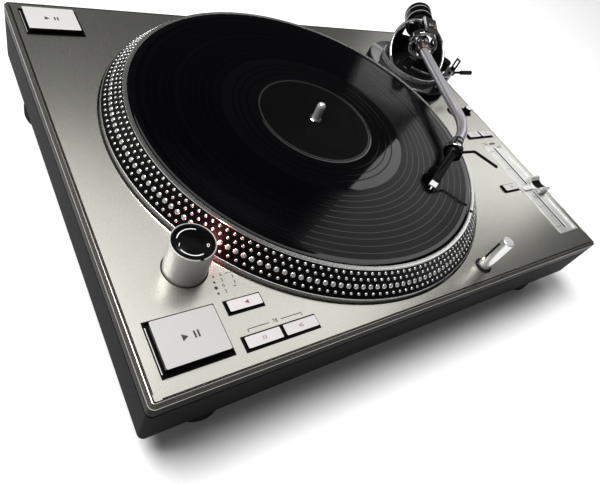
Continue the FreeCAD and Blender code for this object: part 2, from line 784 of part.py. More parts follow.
def terminal_panel():
    """Sunk rear panel that carries the sockets."""
    wide = TERMINAL_RIGHT - TERMINAL_LEFT
    tall = TERMINAL_HIGH - TERMINAL_LOW
    tray = box(TERMINAL_LEFT + 0.2, WALL_Y - 12, TERMINAL_LOW + 0.2, wide - 0.4, 16, tall - 0.4)
    hollow = box(TERMINAL_LEFT + 2, WALL_Y - 10, TERMINAL_LOW + 2, wide - 4, 20, tall - 4)
    inlet = box(TERMINAL_LEFT + 6, WALL_Y - 14, TERMINAL_LOW + 3, 30, 10, tall - 6)
    bores = [cylinder(x, WALL_Y - 14, 44, 3.1, 10, ALONG_Y) for x in JACK_SPOTS]
    post = cylinder(GROUND_SPOT, WALL_Y - 14, 44, 2.1, 10, ALONG_Y)
    return node(cut(tray, hollow, inlet, *bores, post), "terminal_panel")


def mains_inlet():
    """Two-pin appliance inlet in the rear panel."""
    left = TERMINAL_LEFT + 6
    tall = TERMINAL_HIGH - TERMINAL_LOW
    shell = box(left + 0.2, WALL_Y - 22, TERMINAL_LOW + 3.2, 29.6, 16, tall - 6.4)
    mouth = box(left + 5, WALL_Y - 18, TERMINAL_LOW + 6, 20, 14, tall - 12)
    pins = [cylinder(left + x, WALL_Y - 20, 44, 1.2, 12, ALONG_Y) for x in (11, 19)]
    return node(fuse(cut(shell, mouth), *pins), "mains_inlet")


def signal_jacks():
    """Pair of phono sockets and the ground terminal, each a separate solid."""
    jacks = []
    for x in JACK_SPOTS:
        barrel = cylinder(x, WALL_Y - 20, 44, 3, 10, ALONG_Y)
        nose = cylinder(x, WALL_Y - 10, 44, 4.15, 9, ALONG_Y)
        bore = cylinder(x, WALL_Y - 8, 44, 1.6, 8, ALONG_Y)
        jacks.append(cut(fuse(barrel, nose), bore))
    stud = cylinder(GROUND_SPOT, WALL_Y - 18, 44, 2, 15, ALONG_Y)
    thumb = cylinder(GROUND_SPOT, WALL_Y - 9.5, 44, 4.5, 6, ALONG_Y)
    return node(group(*jacks, fuse(stud, thumb)), "signal_jacks")


# ---------------------------------------------------------------- tonearm
# Arm frame: origin at the pivot on the arm's axis, +X along the line from pivot to stylus,
# +Y to the outer side and +Z up.

ARM_TURN = Rotation(Vector(0, 0, 1), DIMENSIONS["arm_angle"])
ARM_Z = dim.deck + dim.arm_axis


def in_arm_frame(item):
    return place(item, dim.arm_x, dim.arm_y, ARM_Z, ARM_TURN)


def arm_spot(x, y):
    """World x, y of a point of the arm frame."""
    spot = ARM_TURN.multVec(Vector(x, y, 0))
    return dim.arm_x + spot.x, dim.arm_y + spot.y


def platter_clearance():
    """Cylinder that keeps the arm base clear of the platter's flange."""
    return cylinder(dim.spin_x, dim.spin_y, dim.deck - 20, dim.well_radius + 0.2, 60)


def arm_base():
    """Fixed black base disc with the guide bore of the height adjuster."""
    disc = turned("base_disc", [(25.1, -12), (29, -12), (29, 0), (dim.base_radius, 0),
                                (dim.base_radius, 4.6), (dim.base_radius - 1.4, 6), (25.1, 6)],
                  dim.arm_x, dim.arm_y, dim.deck)
    return node(cut(disc, platter_clearance()), "arm_base")


WINDOW_LOW, WINDOW_TALL = -10, 15.6


def arm_tower():
    """Rising platform: guide skirt, sloping shroud, bearing post, bridge, rest and lugs."""
    floor = -dim.arm_axis
    platform = cylinder(0, 0, floor + 6.4, dim.tower_radius, 2.6)
    skirt = cylinder(0, 0, floor - 10, 25, 17)
    skirt_bore = cylinder(0, 0, floor - 11, 22, 17.4)
    wall = cut(cylinder(0, 0, floor + 8, dim.shroud_radius, 46),
               cylinder(0, 0, floor + 7, dim.shroud_radius - dim.shroud_wall, 48))
    slope = math.atan(0.68)
    above = box(-60, -60, 0, 120, 120, 60)
    slab = group(above)
    place(slab, 0, 0, 28 - dim.arm_axis, Rotation(Vector(0, 1, 0), math.degrees(slope)))
    wall = cut(wall, slab)
    window = box(-40, -19, WINDOW_LOW, 26, 35, WINDOW_TALL)
    wall = cut(wall, window)
    post = cylinder(0, 0, floor + 8, 8, 14)
    post_bore = cylinder(0, 0, floor + 11.5, 3 + dim.running_gap, 20)
    bridge = new_body("bridge")
    profile = sketch_on(bridge, "XZ_Plane")
    polygon(profile, [(-33.2, 7), (-33.2, 13), (-22, 20.5), (5.5, 20.5), (5.5, 16.6),
                      (-20.5, 16.6), (-29.5, 9.5)])
    arch = pad(bridge, profile, 13)
    arch.Midplane = True
    bush_bore = cylinder(0, 0, 15, 2 + dim.running_gap, 4.5)
    rest_post, rest_floor = arm_rest_parts()
    cylinder_x, cylinder_y = 40.5 * math.cos(math.radians(62)), 40.5 * math.sin(math.radians(62))
    cue_post = cylinder(cylinder_x, cylinder_y, floor + 8, 4.2, 15)
    cue_bore = cylinder(cylinder_x, cylinder_y, floor + 11, 1.8 + dim.running_gap, 14)
    dial_post = cylinder(DIAL_X, DIAL_Y, floor + 8, 5.5, 7.5)
    dial_bore = cylinder(DIAL_X, DIAL_Y, floor + 10.4, 2 + dim.running_gap, 6)
    lug = group(box(dim.arm_x + 22.7, dim.arm_y - 33.4, dim.deck + 8, 8, 3.2, 23))
    place(lug)
    body = fuse(cut(fuse(platform, skirt), skirt_bore), wall, post, bridge, cue_post, dial_post,
                rest_post, rest_floor)
    body = cut(body, post_bore, bush_bore, cue_bore, dial_bore)
    in_arm_frame(body)
    hub_bore = cylinder(dim.arm_x + 26.7, dim.arm_y - 38, dim.deck + 28, 1.55, 9, ALONG_Y)
    body = cut(fuse(body, lug), platter_clearance(), hub_bore)
    return node(body, "arm_tower")


DIAL_X, DIAL_Y = -13.5, 39.2
REST_SPIN = 38.7
REST_X, REST_Y = 38.9, 26.3


def rest_spot(x, y):
    """Arm-frame point of a point in the arm rest's frame, +X along the parked tube."""
    angle = math.radians(REST_SPIN)
    return (REST_X + x * math.cos(angle) - y * math.sin(angle),
            REST_Y + x * math.sin(angle) + y * math.cos(angle))


def arm_rest_parts():
    """Post beside the parked tube and the cradle floor under it."""
    turn = Rotation(Vector(0, 0, 1), REST_SPIN)
    post_x, post_y = rest_spot(-2.2, 7.5)
    post = box(post_x, post_y, 8 - dim.arm_axis, 4.4, 4, dim.arm_axis - 8.5, turn)
    pad_x, pad_y = rest_spot(-2.2, -5)
    cradle = box(pad_x, pad_y, -8, 4.4, 13.5, 2.4, turn)
    return post, cradle


def rest_clip():
    """Latch that swings over the parked tube, standing open."""
    angle = Rotation(Vector(0, 0, 1), REST_SPIN)
    outer = box(-2.8, -1.1, 0, 5.6, 2.2, 12)
    inner = box(-1.6, -3, 2.4, 3.2, 6, 8.2)
    eye = cylinder(-2.8, 0, 0, 1.6, 5.6, ALONG_X)
    clip = cut(fuse(outer, eye), inner)
    spot_x, spot_y = rest_spot(0, 9.5)
    x, y = arm_spot(spot_x, spot_y)
    place(clip, x, y, ARM_Z + 1.5, ARM_TURN.multiply(angle))
    return node(clip, "rest_clip")


def height_ring():
    """Knurled height-adjusting ring round the foot of the shroud."""
    body = new_body("height_ring", dim.arm_x, dim.arm_y, dim.deck + 9.3)
    ring = sketch_on(body, "XY_Plane")
    circle(ring, 0, 0, dim.shroud_radius + 1.5)
    circle(ring, 0, 0, dim.shroud_radius + 0.3)
    pad(body, ring, 5.5)
    tooth = sketch_on(body, "XY_Plane")
    edge = dim.shroud_radius + 1.2
    polygon(tooth, [(edge, -0.5), (edge + 0.7, -0.35), (edge + 0.7, 0.35), (edge, 0.5)])
    rib = pad(body, tooth, 5)
    doc.recompute()
    polar(body, rib, 72)
    return node(body, "height_ring")


def gimbal_ring():
    """Upright ring that swings about the vertical bearing and holds the tilt bearing."""
    hoop = cut(cylinder(-dim.gimbal_width / 2, 0, 0, dim.gimbal_radius, dim.gimbal_width, ALONG_X),
               cylinder(-dim.gimbal_width, 0, 0, dim.gimbal_inner, dim.gimbal_width * 2, ALONG_X))
    foot = cylinder(0, 0, -26, 3, 12)
    crown = cylinder(0, 0, 13.5, 2, 5)
    body = fuse(hoop, foot, crown)
    trunnion_bore = cylinder(0, -20, 0, 2 + dim.running_gap, 40, ALONG_Y)
    return node(in_arm_frame(cut(body, trunnion_bore)), "gimbal_ring")


def pivot_cap():
    """Bearing screw on top of the bridge."""
    cap = cylinder(0, 0, 0, 4.6, 2.6)
    slot = box(-5, -0.5, 1.6, 10, 1, 2)
    body = cut(cap, slot)
    return node(place(body, dim.arm_x, dim.arm_y, ARM_Z + 20.5, ARM_TURN), "pivot_cap")


def pivot_block():
    """Bearing block with trunnions, conical nose for the tube and rear shaft."""
    core = turned("core", [(0, -9), (4.5, -9), (7.4, -7.5), (8, -5), (8, 5), (7, 8.5),
                           (5.9, 15), (5.2, 15), (5.2, 9), (0, 9)], turn=ALONG_X)
    rear = cylinder(-86, 0, 0, 4.5, 78, ALONG_X)
    trunnions = cylinder(0, -15.2, 0, 2, 30.4, ALONG_Y)
    return node(in_arm_frame(fuse(core, rear, trunnions)), "pivot_block")


def tube_path():
    """Corners of the tube's centre line with the tangent points of its two bends."""
    near = Vector(dim.bend_near.value, 0, 0)
    far = Vector(dim.bend_far_x.value, dim.bend_far_y.value, 0)
    tip = Vector(dim.arm_reach.value, 0, 0)
    heading = (tip - far).normalize()
    return near, far, tip, heading


def bend(start, corner, end, radius):
    """Arc of the given radius tangent to start-corner and corner-end."""
    into = (corner - start).normalize()
    out = (end - corner).normalize()
    half = into.getAngle(out) / 2
    tangent = radius * math.tan(half)
    first = corner - into * tangent
    last = corner + out * tangent
    inward = (out - into).normalize()
    middle = corner + inward * (radius / math.cos(half) - radius)
    return first, middle, last


COLLAR_FAR, COLLAR_NEAR = 39, 61


def arm_tube():
    """S-shaped hollow tube: straight runs joined by two tangent arcs."""
    near, far, tip, heading = tube_path()
    start = Vector(9, 0, 0)
    end = tip - heading * (COLLAR_NEAR - 6)
    a1, a2, a3 = bend(start, near, far, dim.near_radius.value)
    b1, b2, b3 = bend(near, far, tip, dim.far_radius.value)
    wire = Part.Wire([Part.LineSegment(start, a1).toShape(), Part.Arc(a1, a2, a3).toShape(),
                      Part.LineSegment(a3, b1).toShape(), Part.Arc(b1, b2, b3).toShape(),
                      Part.LineSegment(b3, end).toShape()])
    outer = Part.Wire(Part.Circle(start, Vector(1, 0, 0), dim.tube_radius.value).toShape())
    bore = dim.tube_radius.value - dim.tube_wall.value
    inner = Part.Wire(Part.Circle(start, Vector(1, 0, 0), bore).toShape())
    skin = wire.makePipeShell([outer], True, True)
    hollow = wire.makePipeShell([inner], True, True)
    item = doc.addObject("Part::Feature", "arm_tube")
    item.Shape = skin.cut(hollow)
    return node(in_arm_frame(item), "arm_tube")


def head_turn():
    """Rotation from +X to the cartridge's heading in the arm frame."""
    _, _, _, heading = tube_path()
    return Rotation(Vector(0, 0, 1), math.degrees(math.atan2(heading.y, heading.x)))


def place_head(item):
    """Head frame: origin over the stylus tip at arm height, +X along the cartridge."""
    tip_x, tip_y = arm_spot(dim.arm_reach.value, 0)
    return place(item, tip_x, tip_y, ARM_Z, ARM_TURN.multiply(head_turn()))


def locking_collar():
    """Flared ring nut that clamps the cartridge to the tube, hollow at its front."""
    bore = dim.tube_radius + dim.running_gap
    long = COLLAR_NEAR - COLLAR_FAR
    profile = [(bore, 0), (5.7, 0), (6.2, 0.8), (6.6, 5.4), (7.9, 15.4), (7.9, 16.6), (8.6, 17.4),
               (8.9, 18.4), (8.9, long - 1), (8.4, long), (7.4, long), (6.6, long - 4),
               (bore, long - 4)]
    ring = turned("collar", profile, turn=ALONG_X)
    place(ring, -COLLAR_NEAR, 0, 0, ALONG_X)
    notch = box(-COLLAR_NEAR + 6, -2.4, 6.2, 2, 4.8, 3)
    return node(place_head(cut(ring, notch)), "locking_collar")


def cartridge():
    """Slim one-piece cartridge that slopes down from its round end to the stylus carrier."""
    body = new_body("cartridge")
    side = sketch_on(body, "XZ_Plane")
    polygon(side, [(-40, 3.6), (-35.5, 2.9), (-6.4, -9.9), (-4, -11.4), (-7.4, -16.6),
                   (-15, -15.6), (-33, -6.2), (-40, -4)])
    profile = pad(body, side, 6.6)
    profile.Midplane = True
    dome = turned("round_end", [(0, 0), (5.4, 0), (5.8, 0.4), (5.8, 4.2), (5.3, 5.8), (4.2, 7),
                                (2.4, 7.9), (0, 8.2)], turn=ALONG_X)
    place(dome, -COLLAR_FAR - 3.9, 0, 0, ALONG_X)
    plug = cylinder(-COLLAR_NEAR + 6, 0, 0, dim.tube_radius - 0.05, 14, ALONG_X)
    return node(place_head(fuse(body, dome, plug)), "cartridge")


def stylus():
    """Replaceable stylus carrier with its cantilever and tip."""
    tip = 1.8 - (dim.arm_axis - (dim.platter_floor + dim.mat_thick))
    body = new_body("stylus_block")
    side = sketch_on(body, "XZ_Plane")
    polygon(side, [(-4, -11.4), (-1.2, -14.6), (-2.4, -16.9), (-7.4, -16.6)])
    block = pad(body, side, 6.2)
    block.Midplane = True
    cantilever = cylinder(-3, 0, -15.6, 0.6, 4.3, along(4, 0, -1.5))
    point = cone(0, 0, tip + 0.3, 0.15, 0.5, 1.6)
    return node(place_head(fuse(body, cantilever, point)), "stylus")


def finger_lift():
    """Bent rod from the cartridge's round end, over the collar's edge to the outer side."""
    route = [Vector(-36.5, 3.2, 3.2), Vector(-34.6, 5, 6.8), Vector(-50.5, 15.7, 6),
             Vector(-48.7, 38.2, 6)]
    radius = 1.25
    pieces = []
    for first, last in zip(route, route[1:]):
        step = last - first
        pieces.append(cylinder(first.x, first.y, first.z, radius, step.Length,
                               along(step.x, step.y, step.z)))
    for corner in route[1:]:
        ball = doc.addObject("Part::Sphere", "knee")
        ball.Radius = radius
        pieces.append(place(ball, corner.x, corner.y, corner.z))
    return node(cut(place_head(fuse(*pieces)), dict(nodes)["cartridge"]), "finger_lift")


def counterweight():
    """Heavy ring on the rear shaft, hollow at its back."""
    near = dim.weight_near
    long = dim.weight_length
    radius = dim.weight_radius
    bore = 4.5 + dim.running_gap
    profile = [(bore, 0), (radius - 1.2, 0), (radius, 1.2), (radius, long - 1.2),
               (radius - 1.2, long), (12.8, long), (12.8, 6), (bore, 6)]
    body = turned("counterweight", profile, turn=along(-1, 0, 0))
    place(body, *arm_spot(-near.value, 0), ARM_Z, ARM_TURN.multiply(along(-1, 0, 0)))
    return node(body, "counterweight")


def force_dial():
    """Numbered tracking-force ring on the front of the counterweight."""
    bore = 4.5 + dim.running_gap
    profile = [(bore, 0), (12.4, 0), (13.2, 0.8), (13.2, 5.6), (bore, 5.6)]
    body = turned("force_dial", profile)
    place(body, *arm_spot(-dim.weight_near.value + 5.9, 0), ARM_Z,
          ARM_TURN.multiply(along(-1, 0, 0)))
    return node(body, "force_dial")


def anti_skate_dial():
    profile = [(0, -5), (2, -5), (2, 0.6), (6.9, 0.6), (7.4, 1.1), (7.4, 10.6), (6.8, 11.2),
               (0, 11.2)]
    x, y = arm_spot(DIAL_X, DIAL_Y)
    dial = turned("dial_disc", profile, x, y, dim.deck + 15.5)
    return node(dial, "anti_skate_dial")


def cue_bar():
    """Lift rod and the curved pad that raises the tube."""
    floor = -dim.arm_axis
    angle = math.radians(62)
    rod = cylinder(40.5 * math.cos(angle), 40.5 * math.sin(angle), floor + 11.4, 1.8, 15)
    body = new_body("lift_pad", z=floor + 25.4)
    plan = sketch_on(body, "XY_Plane")
    start, end = math.radians(-14), math.radians(66)
    outer, inner = 42, 39
    arcs = []
    for radius in (outer, inner):
        ring = Part.Circle(Vector(0, 0, 0), Vector(0, 0, 1), radius)
        arcs.append(plan.addGeometry(Part.ArcOfCircle(ring, start, end)))
    for point, turn in ((1, start), (2, end)):
        ends = [Vector(radius * math.cos(turn), radius * math.sin(turn), 0)
                for radius in (outer, inner)]
        line = plan.addGeometry(Part.LineSegment(*ends))
        plan.addConstraint(Sketcher.Constraint("Coincident", arcs[0], point, line, 1))
        plan.addConstraint(Sketcher.Constraint("Coincident", arcs[1], point, line, 2))
        pin(plan, line, 1, ends[0].x, ends[0].y)
        pin(plan, line, 2, ends[1].x, ends[1].y)
    for arc, radius in zip(arcs, (outer, inner)):
        hold(plan, "Radius", radius, arc)
    pad(body, plan, 2)
    return node(in_arm_frame(fuse(rod, body)), "cue_bar")


def cue_lever():
    """Lever with a rubber handle that works the lift."""
    hub = cylinder(0, -6, 0, 3, 5.2, ALONG_Y)
    shaft = cylinder(0, -1, 0, 1.5, 4, ALONG_Y)
    rod = cylinder(2, -3.4, 0, 1.3, 16, ALONG_X)
    handle = cylinder(16, -3.4, 0, 2.4, 17.5, ALONG_X)
    body = fuse(hub, shaft, rod, handle)
    return node(place(body, dim.arm_x + 26.7, dim.arm_y - 33, dim.deck + 28), "cue_lever")


# ---------------------------------------------------------------- assembly

def build():
    top_plate()
    bezel_rim()
    upper_frame()
    plinth_shell()
    bottom_cover()
    cover_screws()
    feet()
    platter_well()
    bearing_housing()
    motor_stator()
    rotor_magnet()
    platter()
    spindle()
    slipmat()
    record()
    switch_frame("front_switch_frame",
                 [(-222, -169), (-113.5, -169), (-113.5, -154.5), (-142, -154.5),
                  (-142, -129.6), (-172, -129.6), (-172, -127), (-222, -127)],
                 ["start", "reverse", "speed"])
    switch_frame("rear_switch_frame", [(-223, 130), (-174, 130), (-174, 171), (-223, 171)],
                 ["rear_start"])
    switch_frame("pitch_switch_frame",
                 [(157, -100), (186.6, -100), (186.6, -24.5), (220.5, -24.5), (220.5, -9.5),
                  (173.5, -9.5), (173.5, -24.5), (178, -24.5), (178, -86), (157, -86)],
                 ["reset", "range"])
    start_cap("start_button_front", dim.start_x, dim.start_y)
    start_cap("start_button_rear", dim.rear_start_x, dim.rear_start_y)
    key_caps("reverse", REVERSE_KEYS, ["reverse_button"])
    key_caps("speed", SPEED_KEYS, ["speed_33_button", "speed_45_button"])
    key_caps("reset", RESET_KEYS, ["reset_button"])
    key_caps("range", RANGE_KEYS, ["range_button_left", "range_button_right"])
    strobe_post()
    power_knob()
    lamp_sleeve()
    target_lamp()
    pitch_panel()
    pitch_potentiometer()
    pitch_fader()
    trim_knobs()
    control_board()
    power_supply()
    terminal_panel()
    mains_inlet()
    signal_jacks()
    arm_base()
    arm_tower()
    rest_clip()
    height_ring()
    gimbal_ring()
    pivot_cap()
    pivot_block()
    arm_tube()
    locking_collar()
    cartridge()
    stylus()
    finger_lift()
    counterweight()
    force_dial()
    anti_skate_dial()
    cue_bar()
    cue_lever()


def write_parts():
    """Check every object, then write one STEP file for each sub-part."""
    doc.recompute()
    for item in doc.Objects:
        if "Invalid" in item.State or "Error" in item.State:
            raise ValueError(f"{item.Name} ({item.Label}) failed: {item.State}")
    for label, item in nodes:
        if item.Shape.isNull() or not item.Shape.isValid():
            raise ValueError(f"{label}: the shape is not valid")
    os.makedirs("parts", exist_ok=True)
    for label, item in nodes:
        item.Shape.exportStep(f"parts/{label}.step")
        middle = item.Shape.BoundBox
        print(f"{label:22s} {len(item.Shape.Solids):3d} solids {item.Shape.Volume:10.0f} mm3 "
              f"x {middle.XMin:7.1f} {middle.XMax:7.1f} y {middle.YMin:7.1f} {middle.YMax:7.1f} "
              f"z {middle.ZMin:6.1f} {middle.ZMax:6.1f}")


build()
write_parts()
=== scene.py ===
import math
import bpy
import bmesh
from mathutils import Matrix, Vector


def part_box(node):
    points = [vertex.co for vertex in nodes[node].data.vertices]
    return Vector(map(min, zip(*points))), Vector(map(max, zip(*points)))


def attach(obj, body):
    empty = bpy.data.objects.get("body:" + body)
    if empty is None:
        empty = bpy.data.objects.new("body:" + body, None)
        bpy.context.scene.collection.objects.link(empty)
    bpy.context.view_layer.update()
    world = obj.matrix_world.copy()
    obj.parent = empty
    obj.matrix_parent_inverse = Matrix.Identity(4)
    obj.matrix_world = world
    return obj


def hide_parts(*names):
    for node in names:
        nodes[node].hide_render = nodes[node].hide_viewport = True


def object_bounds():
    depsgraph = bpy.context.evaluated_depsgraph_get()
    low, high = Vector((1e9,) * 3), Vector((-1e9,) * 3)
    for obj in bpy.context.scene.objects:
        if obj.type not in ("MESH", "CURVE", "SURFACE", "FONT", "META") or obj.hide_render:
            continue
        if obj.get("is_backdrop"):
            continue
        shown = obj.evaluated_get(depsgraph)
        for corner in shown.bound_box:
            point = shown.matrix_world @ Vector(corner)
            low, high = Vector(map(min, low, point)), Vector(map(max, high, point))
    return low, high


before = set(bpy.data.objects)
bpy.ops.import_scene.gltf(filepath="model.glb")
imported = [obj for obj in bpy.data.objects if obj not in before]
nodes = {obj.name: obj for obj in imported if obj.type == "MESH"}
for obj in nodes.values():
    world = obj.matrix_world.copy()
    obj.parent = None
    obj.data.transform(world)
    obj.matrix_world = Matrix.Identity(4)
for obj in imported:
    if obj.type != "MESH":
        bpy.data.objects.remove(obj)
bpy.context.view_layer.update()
MM = 0.001


# ------------------------------------------------------------------ places taken from the frame

def middle(name):
    """Centre of a CAD node's box."""
    low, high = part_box(name)
    return (low + high) / 2


def top(name):
    """Height of a CAD node's upper side."""
    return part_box(name)[1].z


SPIN = middle("spindle")
DECK = top("top_plate")
PIVOT = middle("height_ring")
AXIS = middle("counterweight").z
KNOB = middle("strobe_post")
LAMP = middle("target_lamp")
PANEL_LOW, PANEL_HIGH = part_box("pitch_panel")

# the tonearm's heading at rest, and its length from the pivot to the stylus in millimetres
ARM_ANGLE = math.radians(234.7)
ARM_X = Vector((math.cos(ARM_ANGLE), math.sin(ARM_ANGLE), 0))
ARM_Y = Vector((-ARM_X.y, ARM_X.x, 0))
REACH = 224.2

# heights above the deck, in millimetres, on which the slip mat and the record lie
MAT_BASE = 15
RECORD_BASE = 17.5

# thickness of a printed mark and height of its numbers, in millimetres
PRINT = 0.06
FIGURE = 3.4
LARGE_FIGURE = 3.6


def arm(x, y, z=0.0):
    """A point of the tonearm's own frame, in millimetres from its pivot."""
    return Vector((PIVOT.x, PIVOT.y, AXIS)) + (ARM_X * x + ARM_Y * y) * MM + Vector((0, 0, z * MM))


# ------------------------------------------------------------------ materials

def new_material(name):
    """An empty material with its shader joined to the output."""
    made = bpy.data.materials.new(name)
    made.use_nodes = True
    tree = made.node_tree
    tree.nodes.clear()
    out = tree.nodes.new("ShaderNodeOutputMaterial")
    shader = tree.nodes.new("ShaderNodeBsdfPrincipled")
    tree.links.new(shader.outputs[0], out.inputs[0])
    return made, tree, shader


def object_coordinates(tree, stretch=(1, 1, 1)):
    """The piece's own coordinates, stretched along x, y and z."""
    source = tree.nodes.new("ShaderNodeTexCoord")
    mapping = tree.nodes.new("ShaderNodeMapping")
    mapping.inputs["Scale"].default_value = stretch
    tree.links.new(source.outputs["Object"], mapping.inputs["Vector"])
    return mapping.outputs[0]


def noise(tree, coordinates, scale, detail=3.0, roughness=0.5):
    """Cloudy values from 0 to 1."""
    made = tree.nodes.new("ShaderNodeTexNoise")
    made.inputs["Scale"].default_value = scale
    made.inputs["Detail"].default_value = detail
    made.inputs["Roughness"].default_value = roughness
    tree.links.new(coordinates, made.inputs["Vector"])
    return made.outputs[0]


def remap(tree, value, low, high, from_low=0.3, from_high=0.7):
    """Turn values between from_low and from_high into low to high."""
    made = tree.nodes.new("ShaderNodeMapRange")
    for name, number in (("From Min", from_low), ("From Max", from_high),
                         ("To Min", low), ("To Max", high)):
        made.inputs[name].default_value = number
    tree.links.new(value, made.inputs["Value"])
    return made.outputs[0]


def blend_colours(tree, factor, first, second):
    """Mix two colours, each a tuple or another node's output."""
    made = tree.nodes.new("ShaderNodeMix")
    made.data_type = "RGBA"
    for socket, colour in ((6, first), (7, second)):
        if isinstance(colour, tuple):
            made.inputs[socket].default_value = (*colour, 1)
        else:
            tree.links.new(colour, made.inputs[socket])
    tree.links.new(factor, made.inputs[0])
    return made.outputs[2]


def bump(tree, shader, height, strength, distance):
    """Fine relief; distance in metres."""
    made = tree.nodes.new("ShaderNodeBump")
    made.inputs["Strength"].default_value = strength
    made.inputs["Distance"].default_value = distance
    tree.links.new(height, made.inputs["Height"])
    tree.links.new(made.outputs[0], shader.inputs["Normal"])


def surface(name, colour, rough, metal=0.0, vary=0.08, scale=30.0, grain=900.0, relief=0.15,
            stretch=(1, 1, 1), coat=0.0, spread=0.08, specular=0.5, edge_wear_and_highlight=None, ior=1.5):
    """Colour and gloss that drift over the piece, with a fine relief on top."""
    made, tree, shader = new_material(name)
    place = object_coordinates(tree, stretch)
    cloud = noise(tree, place, scale, 4)
    dark = tuple(max(0.0, c * (1 - vary)) for c in colour)
    light = tuple(min(1.0, c * (1 + vary)) for c in colour)
    mixed = blend_colours(tree, remap(tree, cloud, 0, 1), dark, light)
    fine = noise(tree, place, grain, 2)
    # lighter colour on sharp convex edges, found from pointiness: partly edge wear, partly a
    # painted highlight along the edges
    if edge_wear_and_highlight:
        geometry = tree.nodes.new("ShaderNodeNewGeometry")
        edge = remap(tree, geometry.outputs["Pointiness"], 0, 1, 0.52, 0.6)
        mixed = blend_colours(tree, edge, mixed, edge_wear_and_highlight)
    tree.links.new(mixed, shader.inputs["Base Color"])
    tree.links.new(remap(tree, fine, max(0.02, rough - spread), min(1, rough + spread)),
                   shader.inputs["Roughness"])
    bump(tree, shader, fine, relief, 0.00005)
    shader.inputs["Metallic"].default_value = metal
    shader.inputs["Coat Weight"].default_value = coat
    shader.inputs["Coat Roughness"].default_value = 0.08
    shader.inputs["Specular IOR Level"].default_value = specular
    shader.inputs["IOR"].default_value = ior
    return made


def glow(name, colour, strength):
    """A lit surface with slight clouding."""
    made, tree, shader = new_material(name)
    shader.inputs["Base Color"].default_value = (*colour, 1)
    cloud = noise(tree, object_coordinates(tree), 300.0)
    mixed = blend_colours(tree, remap(tree, cloud, 0, 1), colour,
                          tuple(c * 0.8 for c in colour))
    tree.links.new(mixed, shader.inputs["Emission Color"])
    shader.inputs["Emission Strength"].default_value = strength
    return made


def groove_material():
    """Pressed grooves: rings of fine relief that spread the light across them."""
    made, tree, shader = new_material("vinyl_groove")
    place = object_coordinates(tree)
    shift = tree.nodes.new("ShaderNodeVectorMath")
    shift.operation = "SUBTRACT"
    shift.inputs[1].default_value = (SPIN.x, SPIN.y, 0)
    tree.links.new(place, shift.inputs[0])
    flat = tree.nodes.new("ShaderNodeVectorMath")
    flat.operation = "MULTIPLY"
    flat.inputs[1].default_value = (1, 1, 0)
    tree.links.new(shift.outputs[0], flat.inputs[0])
    radius = tree.nodes.new("ShaderNodeVectorMath")
    radius.operation = "LENGTH"
    tree.links.new(flat.outputs[0], radius.inputs[0])
    ring = tree.nodes.new("ShaderNodeCombineXYZ")
    tree.links.new(radius.outputs["Value"], ring.inputs[0])
    bands = noise(tree, ring.outputs[0], 900.0, 5, 0.7)
    broad = noise(tree, ring.outputs[0], 160.0, 2, 0.6)
    tree.links.new(blend_colours(tree, remap(tree, broad, 0, 1), (0.0005, 0.0005, 0.0008),
                                 (0.0012, 0.0012, 0.0018)), shader.inputs["Base Color"])
    tree.links.new(remap(tree, bands, 0.03, 0.08), shader.inputs["Roughness"])
    bump(tree, shader, bands, 0.35, 0.0002)
    shader.inputs["Anisotropic"].default_value = 0.85
    shader.inputs["Specular IOR Level"].default_value = 0.13
    tangent = tree.nodes.new("ShaderNodeTangent")
    tangent.direction_type = "RADIAL"
    tangent.axis = "Z"
    tree.links.new(tangent.outputs[0], shader.inputs["Tangent"])
    return made


